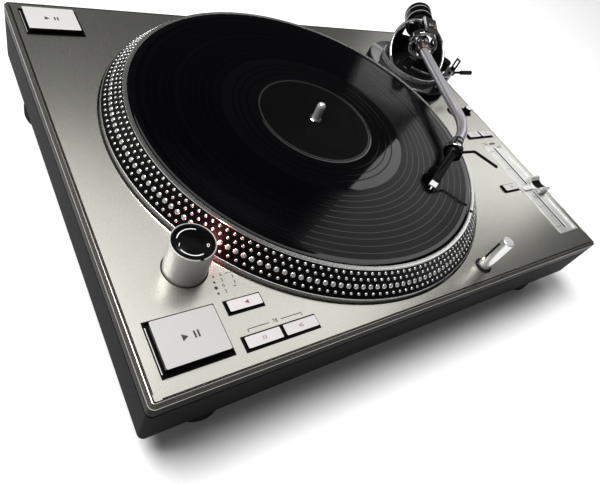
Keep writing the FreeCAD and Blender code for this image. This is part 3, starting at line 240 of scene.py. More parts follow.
M = {
    "deck": surface("deck_paint", (0.58, 0.572, 0.52), 0.265, 0.97, vary=0.03, scale=8,
                    grain=4200, relief=0.12, spread=0.05),
    "rim": surface("rim_satin", (0.38, 0.36, 0.33), 0.24, 0.9, vary=0.03, grain=2600,
                   relief=0.1, spread=0.04),
    "frame": surface("frame_black", (0.003, 0.003, 0.003), 0.34, 0.0, vary=0.2, ior=1.07),
    "case": surface("case_moulded", (0.005, 0.005, 0.005), 0.5, 0.0, vary=0.12, grain=1500,
                    relief=0.6, ior=1.07),
    "rubber": surface("rubber_black", (0.018, 0.018, 0.019), 0.7, 0.0, vary=0.25, grain=1200,
                      relief=0.8, ior=1.07),
    "zinc": surface("zinc_screw", (0.5, 0.5, 0.48), 0.32, 1.0, vary=0.1),
    "steel": surface("bare_steel", (0.56, 0.56, 0.57), 0.3, 1.0, vary=0.06,
                     stretch=(1, 1, 12)),
    "well": surface("well_steel", (0.23, 0.23, 0.24), 0.45, 0.9, vary=0.08),
    "brass": surface("bearing_bronze", (0.30, 0.245, 0.22), 0.24, 1.0, vary=0.1),
    "copper": surface("motor_copper", (0.48, 0.24, 0.13), 0.45, 0.6, vary=0.25, scale=120),
    "board": surface("board_green", (0.02, 0.11, 0.05), 0.45, 0.0, vary=0.3, scale=120),
    "socket": surface("socket_black", (0.012, 0.012, 0.013), 0.3, 0.0, vary=0.2),
    "gold": surface("socket_gold", (0.75, 0.55, 0.25), 0.22, 1.0, vary=0.06),
    "switch": surface("switch_black", (0.003, 0.003, 0.003), 0.45, 0.0, vary=0.2, ior=1.12),
    "strip": surface("strip_satin", (0.66, 0.66, 0.64), 0.32, 0.65, vary=0.03,
                     stretch=(1, 8, 1), relief=0.05),
    "base": surface("base_black", (0.003, 0.003, 0.0035), 0.3, 0.0, vary=0.2, ior=1.1,
                    specular=0.15, edge_wear_and_highlight=(0.05, 0.05, 0.052)),
    "platter": surface("platter_bright", (0.66, 0.66, 0.645), 0.24, 0.95, vary=0.03, scale=60,
                       spread=0.05),
    "slope": surface("platter_dark", (0.002, 0.0018, 0.0018), 0.36, 0.0, vary=0.2, grain=1600,
                     relief=0.5, specular=0.1),
    "dot": surface("dot_polished", (0.80, 0.80, 0.79), 0.26, 0.75, vary=0.03, spread=0.04),
    "magnet": surface("magnet_dark", (0.05, 0.05, 0.055), 0.5, 0.5, vary=0.2),
    "felt": surface("mat_felt", (0.010, 0.010, 0.011), 0.85, 0.0, vary=0.4, scale=200,
                    grain=1400, relief=1.0),
    "land": surface("vinyl_land", (0.0008, 0.0008, 0.0012), 0.035, 0.0, vary=0.15, spread=0.015,
                    relief=0.02, specular=0.6),
    "groove": groove_material(),
    "label": surface("label_paper", (0.0024, 0.0022, 0.0021), 0.4, 0.0, vary=0.15, grain=1500,
                     relief=0.5, specular=0.03),
    "label_ring": surface("label_ring", (0.030, 0.026, 0.024), 0.35, 0.3, vary=0.2),
    "pin": surface("pin_bright", (0.86, 0.86, 0.86), 0.24, 0.7, vary=0.02, grain=3600,
                   relief=0.0, spread=0.02),
    "gloss": surface("arm_gloss", (0.005, 0.005, 0.0055), 0.16, 0.0, vary=0.2, coat=1.0,
                     relief=0.05, edge_wear_and_highlight=(0.16, 0.16, 0.17)),
    "chrome": surface("arm_chrome", (0.84, 0.84, 0.85), 0.08, 1.0, vary=0.03, relief=0.03,
                      spread=0.04),
    "tube": surface("tube_satin", (0.62, 0.60, 0.635), 0.33, 0.85, vary=0.04, grain=1800,
                    spread=0.06),
    "collar": surface("collar_satin", (0.60, 0.60, 0.60), 0.13, 1.0, vary=0.04, grain=1800,
                      relief=0.05),
    "ring": surface("ring_knurled", (0.34, 0.34, 0.35), 0.3, 0.9, vary=0.25, scale=90,
                    edge_wear_and_highlight=(0.8, 0.8, 0.8)),
    "shell": surface("cartridge_black", (0.004, 0.004, 0.0045), 0.3, 0.0, vary=0.2, ior=1.22),
    "white": surface("print_white", (0.80, 0.80, 0.79), 0.4, 0.0, vary=0.03),
    "ink": surface("print_ink", (0.012, 0.011, 0.012), 0.5, 0.0, vary=0.2),
    "pink": surface("print_red", (0.17, 0.045, 0.06), 0.5, 0.0, vary=0.1),
    "weight": surface("weight_black", (0.003, 0.003, 0.0033), 0.12, 0.0, vary=0.2, ior=1.2,
                      specular=0.12),
    "dial": surface("dial_black", (0.003, 0.003, 0.0035), 0.25, 0.0, vary=0.2, ior=1.15,
                    specular=0.15, edge_wear_and_highlight=(0.06, 0.06, 0.062)),
    "knob": surface("knob_satin", (0.44, 0.435, 0.415), 0.42, 0.35, vary=0.04,
                    stretch=(1, 1, 10)),
    "disc": surface("knob_disc", (0.002, 0.002, 0.002), 0.2, 0.0, vary=0.15, specular=0.05),
    "start": surface("start_satin", (0.48, 0.47, 0.465), 0.28, 0.35, vary=0.03, scale=14,
                     grain=3600, relief=0.02),
    # the rear start key's cover: the same finish as the front key's, painted lighter as painted
    # light
    "rear_start_painted_light": surface("rear_start_painted_light_satin", (0.60, 0.59, 0.585), 0.34, 0.2, vary=0.03, scale=14,
                         grain=3600, relief=0.02),
    "key": surface("key_white", (0.56, 0.55, 0.545), 0.42, 0.3, vary=0.03, scale=40,
                   grain=3600, relief=0.02),
    "fader": surface("fader_silver", (0.76, 0.755, 0.74), 0.3, 0.6, vary=0.04),
    "lens": surface("lens_red", (0.30, 0.012, 0.010), 0.2, 0.0, vary=0.1, coat=0.6),
    "red_glow": glow("strobe_glow", (1.0, 0.10, 0.07), 9.0),
    "warm_glow": glow("lamp_glow", (1.0, 0.90, 0.60), 3.0),
}


# ------------------------------------------------------------------ mesh helpers

def finish_mesh(name, bm, body, materials, smooth=True, sharp=0.6):
    """Make a piece of a mesh, with edges steeper than sharp (radians) kept hard."""
    mesh = bpy.data.meshes.new(name)
    bmesh.ops.recalc_face_normals(bm, faces=bm.faces)
    for face in bm.faces:
        face.smooth = smooth
    for edge in bm.edges:
        if len(edge.link_faces) == 2 and edge.calc_face_angle(0) > sharp:
            edge.smooth = False
    bm.to_mesh(mesh)
    bm.free()
    made = bpy.data.objects.new(name, mesh)
    bpy.context.scene.collection.objects.link(made)
    if not isinstance(materials, (list, tuple)):
        materials = [materials]
    for item in materials:
        mesh.materials.append(item)
    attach(made, body)
    return made


def axes_of(direction):
    """Two unit vectors square to a direction, and the direction itself."""
    forward = Vector(direction).normalized()
    side = Vector((0, 0, 1)).cross(forward)
    if side.length < 1e-6:
        side = Vector((1, 0, 0))
    side.normalize()
    return side, forward.cross(side), forward


def lathe(name, profile, origin, body, materials, axis=(0, 0, 1), segments=128,
          bands=None, closed=True):
    """Turn (radius, height) points, in millimetres, about an axis through origin.

    A closed profile joins its last point to its first; each band is a material's index.
    """
    side, up, forward = axes_of(axis)
    bm = bmesh.new()
    rings = []
    for radius, height in profile:
        centre = Vector(origin) + forward * height * MM
        if radius < 1e-6:
            rings.append([bm.verts.new(centre)])
            continue
        ring = []
        for step in range(segments):
            turn = 2 * math.pi * step / segments
            ring.append(bm.verts.new(centre + (side * math.cos(turn) + up * math.sin(turn))
                                     * radius * MM))
        rings.append(ring)
    pairs = list(zip(rings, rings[1:]))
    if closed and len(rings[0]) > 1 and len(rings[-1]) > 1:
        pairs.append((rings[-1], rings[0]))
    for index, (low, high) in enumerate(pairs):
        band = bands[index] if bands and index < len(bands) else 0
        for step in range(segments):
            after = (step + 1) % segments
            if len(low) == 1 and len(high) == 1:
                continue
            if len(low) == 1:
                face = bm.faces.new((low[0], high[step], high[after]))
            elif len(high) == 1:
                face = bm.faces.new((low[step], high[0], low[after]))
            else:
                face = bm.faces.new((low[step], low[after], high[after], high[step]))
            face.material_index = band
    return finish_mesh(name, bm, body, materials)


def prism(name, outline, low, high, body, material, origin=(0, 0, 0), right=(1, 0, 0),
          ahead=(0, 1, 0), bevel=0.0, segments=2):
    """Push a closed outline, in millimetres along right and ahead, from low to high."""
    right, ahead = Vector(right), Vector(ahead)
    up = right.cross(ahead)
    bm = bmesh.new()
    bottom = [bm.verts.new(Vector(origin) + (right * x + ahead * y + up * low) * MM)
              for x, y in outline]
    upper = [bm.verts.new(Vector(origin) + (right * x + ahead * y + up * high) * MM)
             for x, y in outline]
    bm.faces.new(reversed(bottom))
    bm.faces.new(upper)
    count = len(outline)
    for step in range(count):
        after = (step + 1) % count
        bm.faces.new((bottom[step], bottom[after], upper[after], upper[step]))
    if bevel:
        edges = [edge for edge in bm.edges if edge.calc_face_angle(0) > 0.3]
        bmesh.ops.bevel(bm, geom=edges, offset=bevel * MM, segments=segments, profile=0.6,
                        affect="EDGES", clamp_overlap=True)
    return finish_mesh(name, bm, body, material)


def rounded(wide, deep, radius, steps=5, x=0.0, y=0.0):
    """Outline of a rectangle with round corners about x, y."""
    points = []
    for quarter, (sx, sy) in enumerate(((1, 1), (-1, 1), (-1, -1), (1, -1))):
        for step in range(steps + 1):
            turn = (quarter + step / steps) * math.pi / 2
            points.append((x + sx * (wide / 2 - radius) + radius * math.cos(turn),
                           y + sy * (deep / 2 - radius) + radius * math.sin(turn)))
    return points


def sweep(name, path, radius, body, material, sides):
    """Round bar along world points; radius in millimetres."""
    bm = bmesh.new()
    rings = []
    side = None
    for index, point in enumerate(path):
        before = path[max(0, index - 1)]
        after = path[min(len(path) - 1, index + 1)]
        heading = (after - before).normalized()
        if side is None:
            side = axes_of(heading)[0]
        side = (side - heading * side.dot(heading)).normalized()
        up = heading.cross(side)
        rings.append([bm.verts.new(point + (side * math.cos(turn) + up * math.sin(turn))
                                   * radius * MM)
                      for turn in (2 * math.pi * step / sides for step in range(sides))])
    for low, high in zip(rings, rings[1:]):
        for step in range(sides):
            after = (step + 1) % sides
            bm.faces.new((low[step], low[after], high[after], high[step]))
    bm.faces.new(reversed(rings[0]))
    bm.faces.new(rings[-1])
    return finish_mesh(name, bm, body, material)


def figures(name, words, size, spot, body, material, right=(1, 0, 0), ahead=(0, 1, 0),
            lift=PRINT):
    """Raised print of a number or sign, centred on spot; size in millimetres."""
    curve = bpy.data.curves.new(name + "_curve", "FONT")
    curve.body = words
    curve.size = size * MM
    curve.align_x = "CENTER"
    curve.align_y = "CENTER"
    curve.extrude = lift * MM / 2
    helper = bpy.data.objects.new(name + "_helper", curve)
    bpy.context.scene.collection.objects.link(helper)
    bpy.context.view_layer.update()
    mesh = bpy.data.meshes.new_from_object(helper.evaluated_get(
        bpy.context.evaluated_depsgraph_get()))
    bpy.data.objects.remove(helper)
    right, ahead = Vector(right).normalized(), Vector(ahead).normalized()
    up = right.cross(ahead)
    turn = Matrix((right, ahead, up)).transposed().to_4x4()
    mesh.transform(Matrix.Translation(Vector(spot) + up * lift * MM / 2) @ turn)
    mesh.materials.clear()
    mesh.materials.append(material)
    made = bpy.data.objects.new(name, mesh)
    bpy.context.scene.collection.objects.link(made)
    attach(made, body)


def strips(name, bars, body, material, z, lift=PRINT):
    """Printed bars: (x, y, wide, deep) rectangles in millimetres, a hair above height z."""
    bm = bmesh.new()
    for x, y, wide, deep in bars:
        matrix = Matrix.Translation((x * MM, y * MM, z + lift * MM / 2))
        matrix = matrix @ Matrix.Diagonal((wide * MM, deep * MM, lift * MM, 1))
        bmesh.ops.create_cube(bm, size=1, matrix=matrix)
    return finish_mesh(name, bm, body, material, smooth=False)


def dress(name, material, bevel=0.0, segments=2):
    """Give a CAD node its material and, where asked, softened edges."""
    item = nodes[name]
    item.data.materials.clear()
    item.data.materials.append(material)
    for face in item.data.polygons:
        face.material_index = 0
    if bevel:
        weld = item.modifiers.new("weld", "WELD")
        weld.merge_threshold = 0.000002
        soft = item.modifiers.new("bevel", "BEVEL")
        soft.width = bevel * MM
        soft.segments = segments
        soft.limit_method = "ANGLE"
        soft.angle_limit = 0.6
        soft.use_clamp_overlap = False
        weighted = item.modifiers.new("weighted", "WEIGHTED_NORMAL")
        weighted.keep_sharp = False
        for face in item.data.polygons:
            face.use_smooth = True


# ------------------------------------------------------------------ camera

# the camera stands to the front left, above the case, and looks down across it
SENSOR_WIDE = 36
FOCAL_LENGTH = 29.57
CAMERA_PLACE = (-0.2885, -0.2506, 0.324)
camera_data = bpy.data.cameras.new("camera")
camera_data.sensor_width = SENSOR_WIDE
camera_data.lens = FOCAL_LENGTH
camera = bpy.data.objects.new("camera", camera_data)
bpy.context.scene.collection.objects.link(camera)
look_right = Vector((0.8134, -0.4614, 0.3543)).normalized()
look_up = Vector((0.1799, 0.7787, 0.6011))
look_up = (look_up - look_right * look_up.dot(look_right)).normalized()
look_back = look_right.cross(look_up)
camera.matrix_world = Matrix.Translation(CAMERA_PLACE) @ Matrix(
    (look_right, look_up, look_back)).transposed().to_4x4()
bpy.context.scene.camera = camera
bpy.context.scene.view_settings.view_transform = "Standard"


# ------------------------------------------------------------------ case

dress("top_plate", M["deck"])
dress("bezel_rim", M["rim"], 0.25)
dress("upper_frame", M["frame"], 0.25)
dress("plinth_shell", M["case"], 0.4)
dress("bottom_cover", M["rubber"])
dress("cover_screws", M["zinc"], 0.3)
for foot in ("foot_front_left", "foot_front_right", "foot_back_left", "foot_back_right"):
    dress(foot, M["rubber"], 0.5)
dress("platter_well", M["well"])
dress("bearing_housing", M["brass"])
dress("motor_stator", M["copper"])
dress("control_board", M["board"])
dress("power_supply", M["board"])
dress("pitch_potentiometer", M["steel"])
dress("terminal_panel", M["socket"], 0.3)
dress("mains_inlet", M["socket"], 0.3)
dress("signal_jacks", M["gold"], 0.2)
for switch in ("front_switch_frame", "rear_switch_frame", "pitch_switch_frame"):
    dress(switch, M["switch"])
dress("lamp_sleeve", M["dial"], 0.15)
dress("arm_base", M["base"], 0.4)


# ------------------------------------------------------------------ platter, mat and record

# foot and edge of the platter's slope: radius and height above the deck, in millimetres
SLOPE_LOW, SLOPE_HIGH = (167.0, 4.0), (154.2, 18.5)
PLATTER_EDGE = 19.3
ABOVE_SPIN = (SPIN.x, SPIN.y, DECK)

platter_profile = [
    (4.6, 6), (20, 6), (24, 11), (140, 11), (148, -3), (168.1, -3), (168.5, -2.6),
    (168.5, 2.8), (168.1, 3.4), (167.6, 3.4), (167.3, 3.6), SLOPE_LOW, SLOPE_HIGH,
    (154.1, 19.1), (153.9, PLATTER_EDGE), (151.2, 19.0), (151.0, 18.9), (151.0, MAT_BASE),
    (4.6, MAT_BASE)]
DARK_BANDS = (9, 10, 11, 15, 16, 17)
platter_bands = [int(band in DARK_BANDS) for band in range(len(platter_profile) - 1)]
platter = lathe("platter_turned", platter_profile, ABOVE_SPIN, "platter",
                [M["platter"], M["slope"]], segments=360, bands=platter_bands)
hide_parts("platter")


def strobe_dots():
    """Four rows of polished domes on the platter's dark slope."""
    sides = 12
    dome = ((1.0, -0.05), (0.93, 0.24), (0.7, 0.46), (0.36, 0.58))
    # each row: its share of the slope from the foot, dot radius, dots in the row, shift in dots
    rows = [(0.14, 1.15, 180, 0.0), (0.40, 1.85, 180, 0.5), (0.66, 1.15, 180, 0.0),
            (0.88, 1.15, 180, 0.5)]
    bm = bmesh.new()
    low = Vector((SLOPE_LOW[0], 0, SLOPE_LOW[1]))
    high = Vector((SLOPE_HIGH[0], 0, SLOPE_HIGH[1]))
    along = high - low
    outward = Vector((along.z, 0, -along.x)).normalized()
    upward = along.normalized()
    across = Vector((0, 1, 0))
    for share, radius, count, shift in rows:
        base = low + along * share
        for index in range(count):
            turn = Matrix.Rotation(2 * math.pi * (index + shift) / count, 4, "Z")
            rings = []
            for scale, rise in dome:
                ring = []
                for step in range(sides):
                    angle = 2 * math.pi * step / sides
                    point = (base + across * math.cos(angle) * radius * scale
                             + upward * math.sin(angle) * radius * scale + outward * rise)
                    ring.append(bm.verts.new(turn @ (point * MM) + Vector(ABOVE_SPIN)))
                rings.append(ring)
            for inner, outer in zip(rings, rings[1:]):
                for step in range(sides):
                    after = (step + 1) % sides
                    bm.faces.new((inner[step], inner[after], outer[after], outer[step]))
            bm.faces.new(rings[-1])
            bm.faces.new(reversed(rings[0]))
    finish_mesh("strobe_dots", bm, "platter", M["dot"], sharp=3.2)


strobe_dots()

# a small dark mark on the platter's edge, at the front right
MARK_RADIUS, MARK_ANGLE = 152.8, math.radians(-53)
MARK_WIDE, MARK_DEEP = 3.2, 2.6
strips("speed_mark", [((SPIN.x / MM) + MARK_RADIUS * math.cos(MARK_ANGLE),
                       (SPIN.y / MM) + MARK_RADIUS * math.sin(MARK_ANGLE),
                       MARK_WIDE, MARK_DEEP)],
       "platter", M["switch"], DECK + PLATTER_EDGE * MM)

dress("rotor_magnet", M["magnet"])
mat = lathe("slip_mat", [(4.8, 0.05), (149.2, 0.05), (149.5, 0.4), (149.5, 2.1), (149.1, 2.5),
                         (4.8, 2.5)],
            (SPIN.x, SPIN.y, DECK + MAT_BASE * MM), "platter", M["felt"],
            segments=256)
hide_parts("slipmat")

# radii between which the tracks lie, and the plain land before each one but the first
TRACK_EDGES = [145.8, 140.9, 134.6, 128.4, 122.7, 116.0, 110.6, 104.2, 99.1, 92.8, 87.6, 81.4]
TRACK_GAP = 0.45
TRACK_TOP = 1.7
LAND, GROOVE, LABEL, LABEL_RING = range(4)

# underside and raised rim
record_profile = [(3.62, 0.03), (150.2, 0.03), (150.8, 0.7), (150.8, 1.2), (150.35, 1.72),
                  (149.4, 1.9), (148.2, 1.86), (146.2, 1.72)]
record_bands = [LAND] * 7
for index, (start, end) in enumerate(zip(TRACK_EDGES, TRACK_EDGES[1:])):
    gap = TRACK_GAP if index else 0.0
    record_profile += [(start - gap, TRACK_TOP), (end, TRACK_TOP)]
    record_bands += [LAND, GROOVE]
# run-out with three wide-spaced grooves
record_profile += [(radius, 1.69) for radius in (81.0, 79.6, 72.6, 71.4, 66.8, 65.9, 60.2,
                                                 59.2, 52.4)]
record_bands += [LAND, LAND, LAND, GROOVE, LAND, GROOVE, LAND, GROOVE, LAND]
# step up to the label, its thin ring and the label itself, with a pressed ring
record_profile += [(51.9, 1.7), (51.5, 1.86), (50.9, 1.9), (50.3, 1.9), (49.2, 1.9),
                   (36.2, 1.86), (35.4, 1.80), (34.6, 1.86), (3.62, 1.9)]
record_bands += [LAND, LAND, LAND, LABEL, LABEL_RING] + [LABEL] * 5
record = lathe("record_pressed", record_profile, (SPIN.x, SPIN.y, DECK + RECORD_BASE * MM),
               "platter",
               [M["land"], M["groove"], M["label"], M["label_ring"]],
               segments=360, bands=record_bands)
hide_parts("record")
pin = lathe("spindle_turned", [(0, -36.7), (2, -36.7), (4.5, -34), (4.5, 15), (3.6, 15),
                               (3.6, 18.8), (3.3, 18.8), (3.3, 19.6), (3.57, 19.6),
                               (3.57, 31.8), (3.3, 33.2), (2.6, 34.4), (1.4, 35.2), (0, 35.4)],
            ABOVE_SPIN, "platter", M["pin"], segments=48, closed=False)
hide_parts("spindle")
lathe("spindle_collar", [(3.7, 1.95), (5.6, 1.95), (5.6, 2.2), (5.2, 2.5), (3.7, 2.5)],
      (SPIN.x, SPIN.y, DECK + RECORD_BASE * MM), "platter", M["chrome"],
      segments=48)


# ------------------------------------------------------------------ keys

def key_piece(node, material, radius, edge, drop=0.0):
    """Cap with dark sides in place of a key's block, and a dark band round it: the gap, with
    painted shade of its recess.
    """
    low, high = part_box(node)
    high = high - Vector((0, 0, drop * MM))
    wide, deep = (high.x - low.x) / MM, (high.y - low.y) / MM
    spot = ((low.x + high.x) / 2, (low.y + high.y) / 2, 0)
    cap = prism(node + "_cap", rounded(wide, deep, radius), low.z / MM, high.z / MM, node,
                material, spot, bevel=edge, segments=3)
    cap.data.materials.append(M["switch"])
    for face in cap.data.polygons:
        face.material_index = 0 if face.normal.z > 0.35 else 1
    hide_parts(node)
    x, y = spot[0] / MM, spot[1] / MM
    # the dark band round each key: partly the gap, partly painted shade of the recess it stands in
    band, clear = 0.75, 0.1
    strips(node + "_gap_and_shade", [(x, y - (deep + band) / 2 - clear, wide + 2 * band, band),
                           (x, y + (deep + band) / 2 + clear, wide + 2 * band, band),
                           (x - (wide + band) / 2 - clear, y, band, deep),
                           (x + (wide + band) / 2 + clear, y, band, deep)],
           "case", M["switch"], DECK)
    return spot, high.z


# the start/stop keys: the carrier that each stands in, its cover (the rear one painted lighter, as
# painted light) and how far it is let down, a pale line painted along its left side as a
# reflection of the inner edge of its frame, and a play and a pause sign
REFLECTION_OUT, REFLECTION_WIDE, REFLECTION_SHORT = 1.5, 0.5, 0.6
SIGN_LEFT, SIGN_TIP, SIGN_HALF = 5.2, 1.6, 2.2
BAR_FIRST, BAR_SECOND, BAR_WIDE = 2.2, 4.4, 1.1
for name, carrier, cover, drop in (
        ("start_button_front", "front_switch_frame", "start", 0.0),
        # the rear key takes the cover painted lighter, as painted light
        ("start_button_rear", "rear_switch_frame", "rear_start_painted_light", 1.8)):
    spot, height = key_piece(name, M[cover], 0.9, 0.55, drop)
    x, y = spot[0] / MM, spot[1] / MM
    key_low, key_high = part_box(name)
    # painted reflection: a pale line along the key's left side, where the inner edge of its frame
    # is mirrored
    strips(name + "_painted_reflection", [(key_low.x / MM - REFLECTION_OUT, y, REFLECTION_WIDE,
                            (key_high.y - key_low.y) / MM - REFLECTION_SHORT)],
           "case", M["strip"], max(top(carrier), DECK + 0.07 * MM))
    prism(name + "_sign", [(x - SIGN_TIP, y), (x - SIGN_LEFT, y + SIGN_HALF),
                           (x - SIGN_LEFT, y - SIGN_HALF)],
          height / MM, height / MM + PRINT, name, M["ink"])
    strips(name + "_bars", [(x + BAR_FIRST, y, BAR_WIDE, 2 * SIGN_HALF),
                            (x + BAR_SECOND, y, BAR_WIDE, 2 * SIGN_HALF)],
           name, M["ink"], height)

# the small keys: a number, or an arrow where there is none
for name, words in (("reverse_button", ""), ("speed_33_button", "33"), ("speed_45_button", "45"),
                    ("reset_button", ""), ("range_button_left", "8"),
                    ("range_button_right", "16")):
    spot, height = key_piece(name, M["key"], 0.7, 0.3)
    if words:
        figures(name + "_print", words, FIGURE, (spot[0], spot[1], height), name,
                M["pink"])
    else:
        x, y = spot[0] / MM, spot[1] / MM
        prism(name + "_print", [(x + 2.6, y - 1.5), (x + 2.6, y + 1.5), (x - 0.4, y)],
              height / MM, height / MM + PRINT, name, M["pink"])


# ------------------------------------------------------------------ power knob

dress("strobe_post", M["lens"])
dress("power_knob", M["knob"], 0.2, 3)
KNOB_TOP = top("power_knob")
DISC_SINK = 0.5
lathe("knob_disc", [(0, -1.15), (12.0, -1.15), (12.0, -0.75), (11.6, -DISC_SINK),
                    (0, -DISC_SINK)],
      (KNOB.x, KNOB.y, KNOB_TOP), "power_knob", M["disc"], segments=64,
      closed=False)
knob_low, knob_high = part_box("power_knob")
KNOB_RADIUS = (knob_high.x - knob_low.x) / 2 / MM
EDGE_IN, EDGE_OUT = 11.4, KNOB_RADIUS - 0.95
lathe("knob_disc_edge", [(EDGE_IN, 0.01), (EDGE_OUT, 0.01), (EDGE_OUT, 0.07),
                         (EDGE_IN, 0.07)],
      (KNOB.x, KNOB.y, KNOB_TOP), "power_knob", M["disc"], segments=96)
prism("knob_notch", [(-1.5, -0.9), (1.5, -0.9), (0, 1.6)], 0.02, 0.12, "power_knob",
      M["disc"], (KNOB.x, KNOB.y - (KNOB_RADIUS - 0.9) * MM, KNOB_TOP))


def arc_bar(name, centre, radius, wide, start, end, body, material, z, lift=0.08):
    """Flat printed arc about a centre."""
    bm = bmesh.new()
    steps = max(6, int(abs(end - start) / 4))
    rows = []
    for step in range(steps + 1):
        turn = math.radians(start + (end - start) * step / steps)
        ray = Vector((math.cos(turn), math.sin(turn), 0))
        inner = Vector((centre[0], centre[1], z)) + ray * (radius - wide / 2) * MM
        outer = Vector((centre[0], centre[1], z)) + ray * (radius + wide / 2) * MM
        rise = Vector((0, 0, lift * MM))
        rows.append([bm.verts.new(p) for p in (inner, outer, outer + rise, inner + rise)])
    for low, high in zip(rows, rows[1:]):
        for step in range(4):
            after = (step + 1) % 4
            bm.faces.new((low[step], low[after], high[after], high[step]))
    bm.faces.new(rows[0])
    bm.faces.new(reversed(rows[-1]))
    return finish_mesh(name, bm, body, material, smooth=False)


ARC_RADIUS, ARC_WIDE = 9.6, 0.55
for name, start, end in (("knob_ring_mark", 60, 150), ("knob_ring_mark_low", 200, 285)):
    arc_bar(name, (KNOB.x, KNOB.y), ARC_RADIUS, ARC_WIDE, start, end, "power_knob",
            M["white"], KNOB_TOP - DISC_SINK * MM)
NUMBER_RADIUS = 8.6
for angle, words in ((180, "1"), (-30, "0")):
    turn = math.radians(angle)
    figures("knob_number_" + words, words, LARGE_FIGURE,
            (KNOB.x + NUMBER_RADIUS * MM * math.cos(turn),
             KNOB.y + NUMBER_RADIUS * MM * math.sin(turn), KNOB_TOP - DISC_SINK * MM),
            "power_knob", M["white"],
            right=(0.87, -0.5, 0), ahead=(0.5, 0.87, 0))

# the red window of the strobe light, on the side of the post that faces the platter
to_platter = math.atan2(SPIN.y - KNOB.y, SPIN.x - KNOB.x)
ray = Vector((math.cos(to_platter), math.sin(to_platter), 0))
prism("strobe_lamp", rounded(7, 5, 1.2), 7.2, 7.9, "case", M["red_glow"],
      (KNOB.x, KNOB.y, DECK + 8 * MM), right=(-ray.y, ray.x, 0), ahead=(0, 0, 1), bevel=0.2)


# ------------------------------------------------------------------ target lamp

dress("target_lamp", M["pin"], 0.25, 3)
lamp_low, lamp_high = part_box("target_lamp")
LAMP_RADIUS = (lamp_high.x - lamp_low.x) / 2 / MM
SLOT_DEPTH, SLOT_HEIGHT, FILAMENT_HEIGHT = 0.5, 16.4, 7.2
facing = math.atan2(SPIN.y - LAMP.y, SPIN.x - LAMP.x) + math.radians(20)
ray = Vector((math.cos(facing), math.sin(facing), 0))
side = Vector((-ray.y, ray.x, 0))
prism("target_slot", rounded(3.1, 20.4, 1.2), 1.6, LAMP_RADIUS - SLOT_DEPTH, "target_lamp",
      M["switch"], (LAMP.x, LAMP.y, DECK + SLOT_HEIGHT * MM), right=side,
      ahead=(0, 0, 1), bevel=0.1)
prism("target_filament", rounded(1.8, 2.6, 0.6), LAMP_RADIUS - SLOT_DEPTH, LAMP_RADIUS - 0.3,
      "target_lamp", M["warm_glow"],
      (LAMP.x, LAMP.y, DECK + FILAMENT_HEIGHT * MM), right=side, ahead=(0, 0, 1), bevel=0.1)


# ------------------------------------------------------------------ pitch control

dress("pitch_panel", M["strip"], 0.2)
STRIP_TOP = PANEL_HIGH.z

# the scale: its zero, the space between ticks, where the ticks end and its numbers stand
SCALE_ZERO, TICK_SPACE = -96, 3.3
TICK_END, NUMBER_X = 199.2, 191.5
HALF_SCALE = 16
ticks = []
for step in range(-HALF_SCALE, HALF_SCALE + 1):
    long = 5.2 if step % 8 == 0 else 3.6 if step % 4 == 0 else 2.2
    thick = 0.35 if step % 4 else 0.55
    ticks.append((TICK_END - long / 2, SCALE_ZERO + step * TICK_SPACE, long, thick))
strips("pitch_scale", ticks, "case", M["ink"], STRIP_TOP)
for step, words in ((-16, "8"), (-8, "4"), (0, "0"), (8, "4"), (16, "8")):
    figures(f"pitch_number_{step + HALF_SCALE}", words, FIGURE,
            (NUMBER_X * MM, (SCALE_ZERO + step * TICK_SPACE) * MM, STRIP_TOP), "case",
            M["ink"])

# the channel that the fader runs in, its dark slot, and the dark marks at the strip's end
prism("pitch_channel", rounded(7.9, 116.4, 0.6), 0.0, 0.1, "case", M["strip"],
      ((PANEL_LOW.x + PANEL_HIGH.x) / 2 + 8.2 * MM, (PANEL_LOW.y + PANEL_HIGH.y) / 2,
       STRIP_TOP - 1.38 * MM))
strips("slot_dark_edges", [(202.7, -95.5, 3.3, 112)], "case", M["switch"],
       STRIP_TOP - 0.5 * MM)
strips("strip_end_marks", [(206.0, -31.6, 9.0, 2.0), (194.6, -29.2, 8.0, 0.5),
                           (194.6, -31.6, 8.0, 0.5)], "case", M["switch"], DECK)

# the fader's cap, with a dark hollow across its grip
fader_low, fader_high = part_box("pitch_fader")
dress("pitch_fader", M["fader"], 0.35, 3)
grip = (fader_high.x - 9.4 * MM, (fader_low.y + fader_high.y) / 2, fader_low.z)
prism("fader_hollow", [(-4.9, 12.0), (-2, 11.06), (2, 11.06), (4.9, 12.0), (4.9, 12.16),
                       (2, 11.2), (-2, 11.2), (-4.9, 12.16)], -6.6, 7.2, "pitch_fader",
      M["switch"], grip, right=(0, 1, 0), ahead=(0, 0, 1))


# ------------------------------------------------------------------ small knobs

# each has a thin metal cover; the flush one has a dark ring painted round it on the deck, partly
# its gap and partly painted shade
for name, radius, cover in (("start_time_knob", 3.6, "pin"), ("brake_time_knob", 4.7, "deck")):
    dress(name, M["dial"], 0.2)
    spot, high = middle(name), top(name)
    lathe(name + "_top", [(0, 0.02), (radius, 0.02), (radius, 0.1), (0, 0.1)],
          (spot.x, spot.y, high), name, M[cover], segments=48, closed=False)
spot = middle("brake_time_knob")
# the dark ring: the gap round the flush knob, with painted shade in it
lathe("brake_gap_shade_ring", [(6.0, 0.0), (7.7, 0.0), (7.7, 0.07), (6.0, 0.07)], (spot.x, spot.y, DECK),
      "case", M["switch"], segments=64)


# ------------------------------------------------------------------ tonearm base and tower

dress("arm_tower", M["gloss"], 0.3, 3)

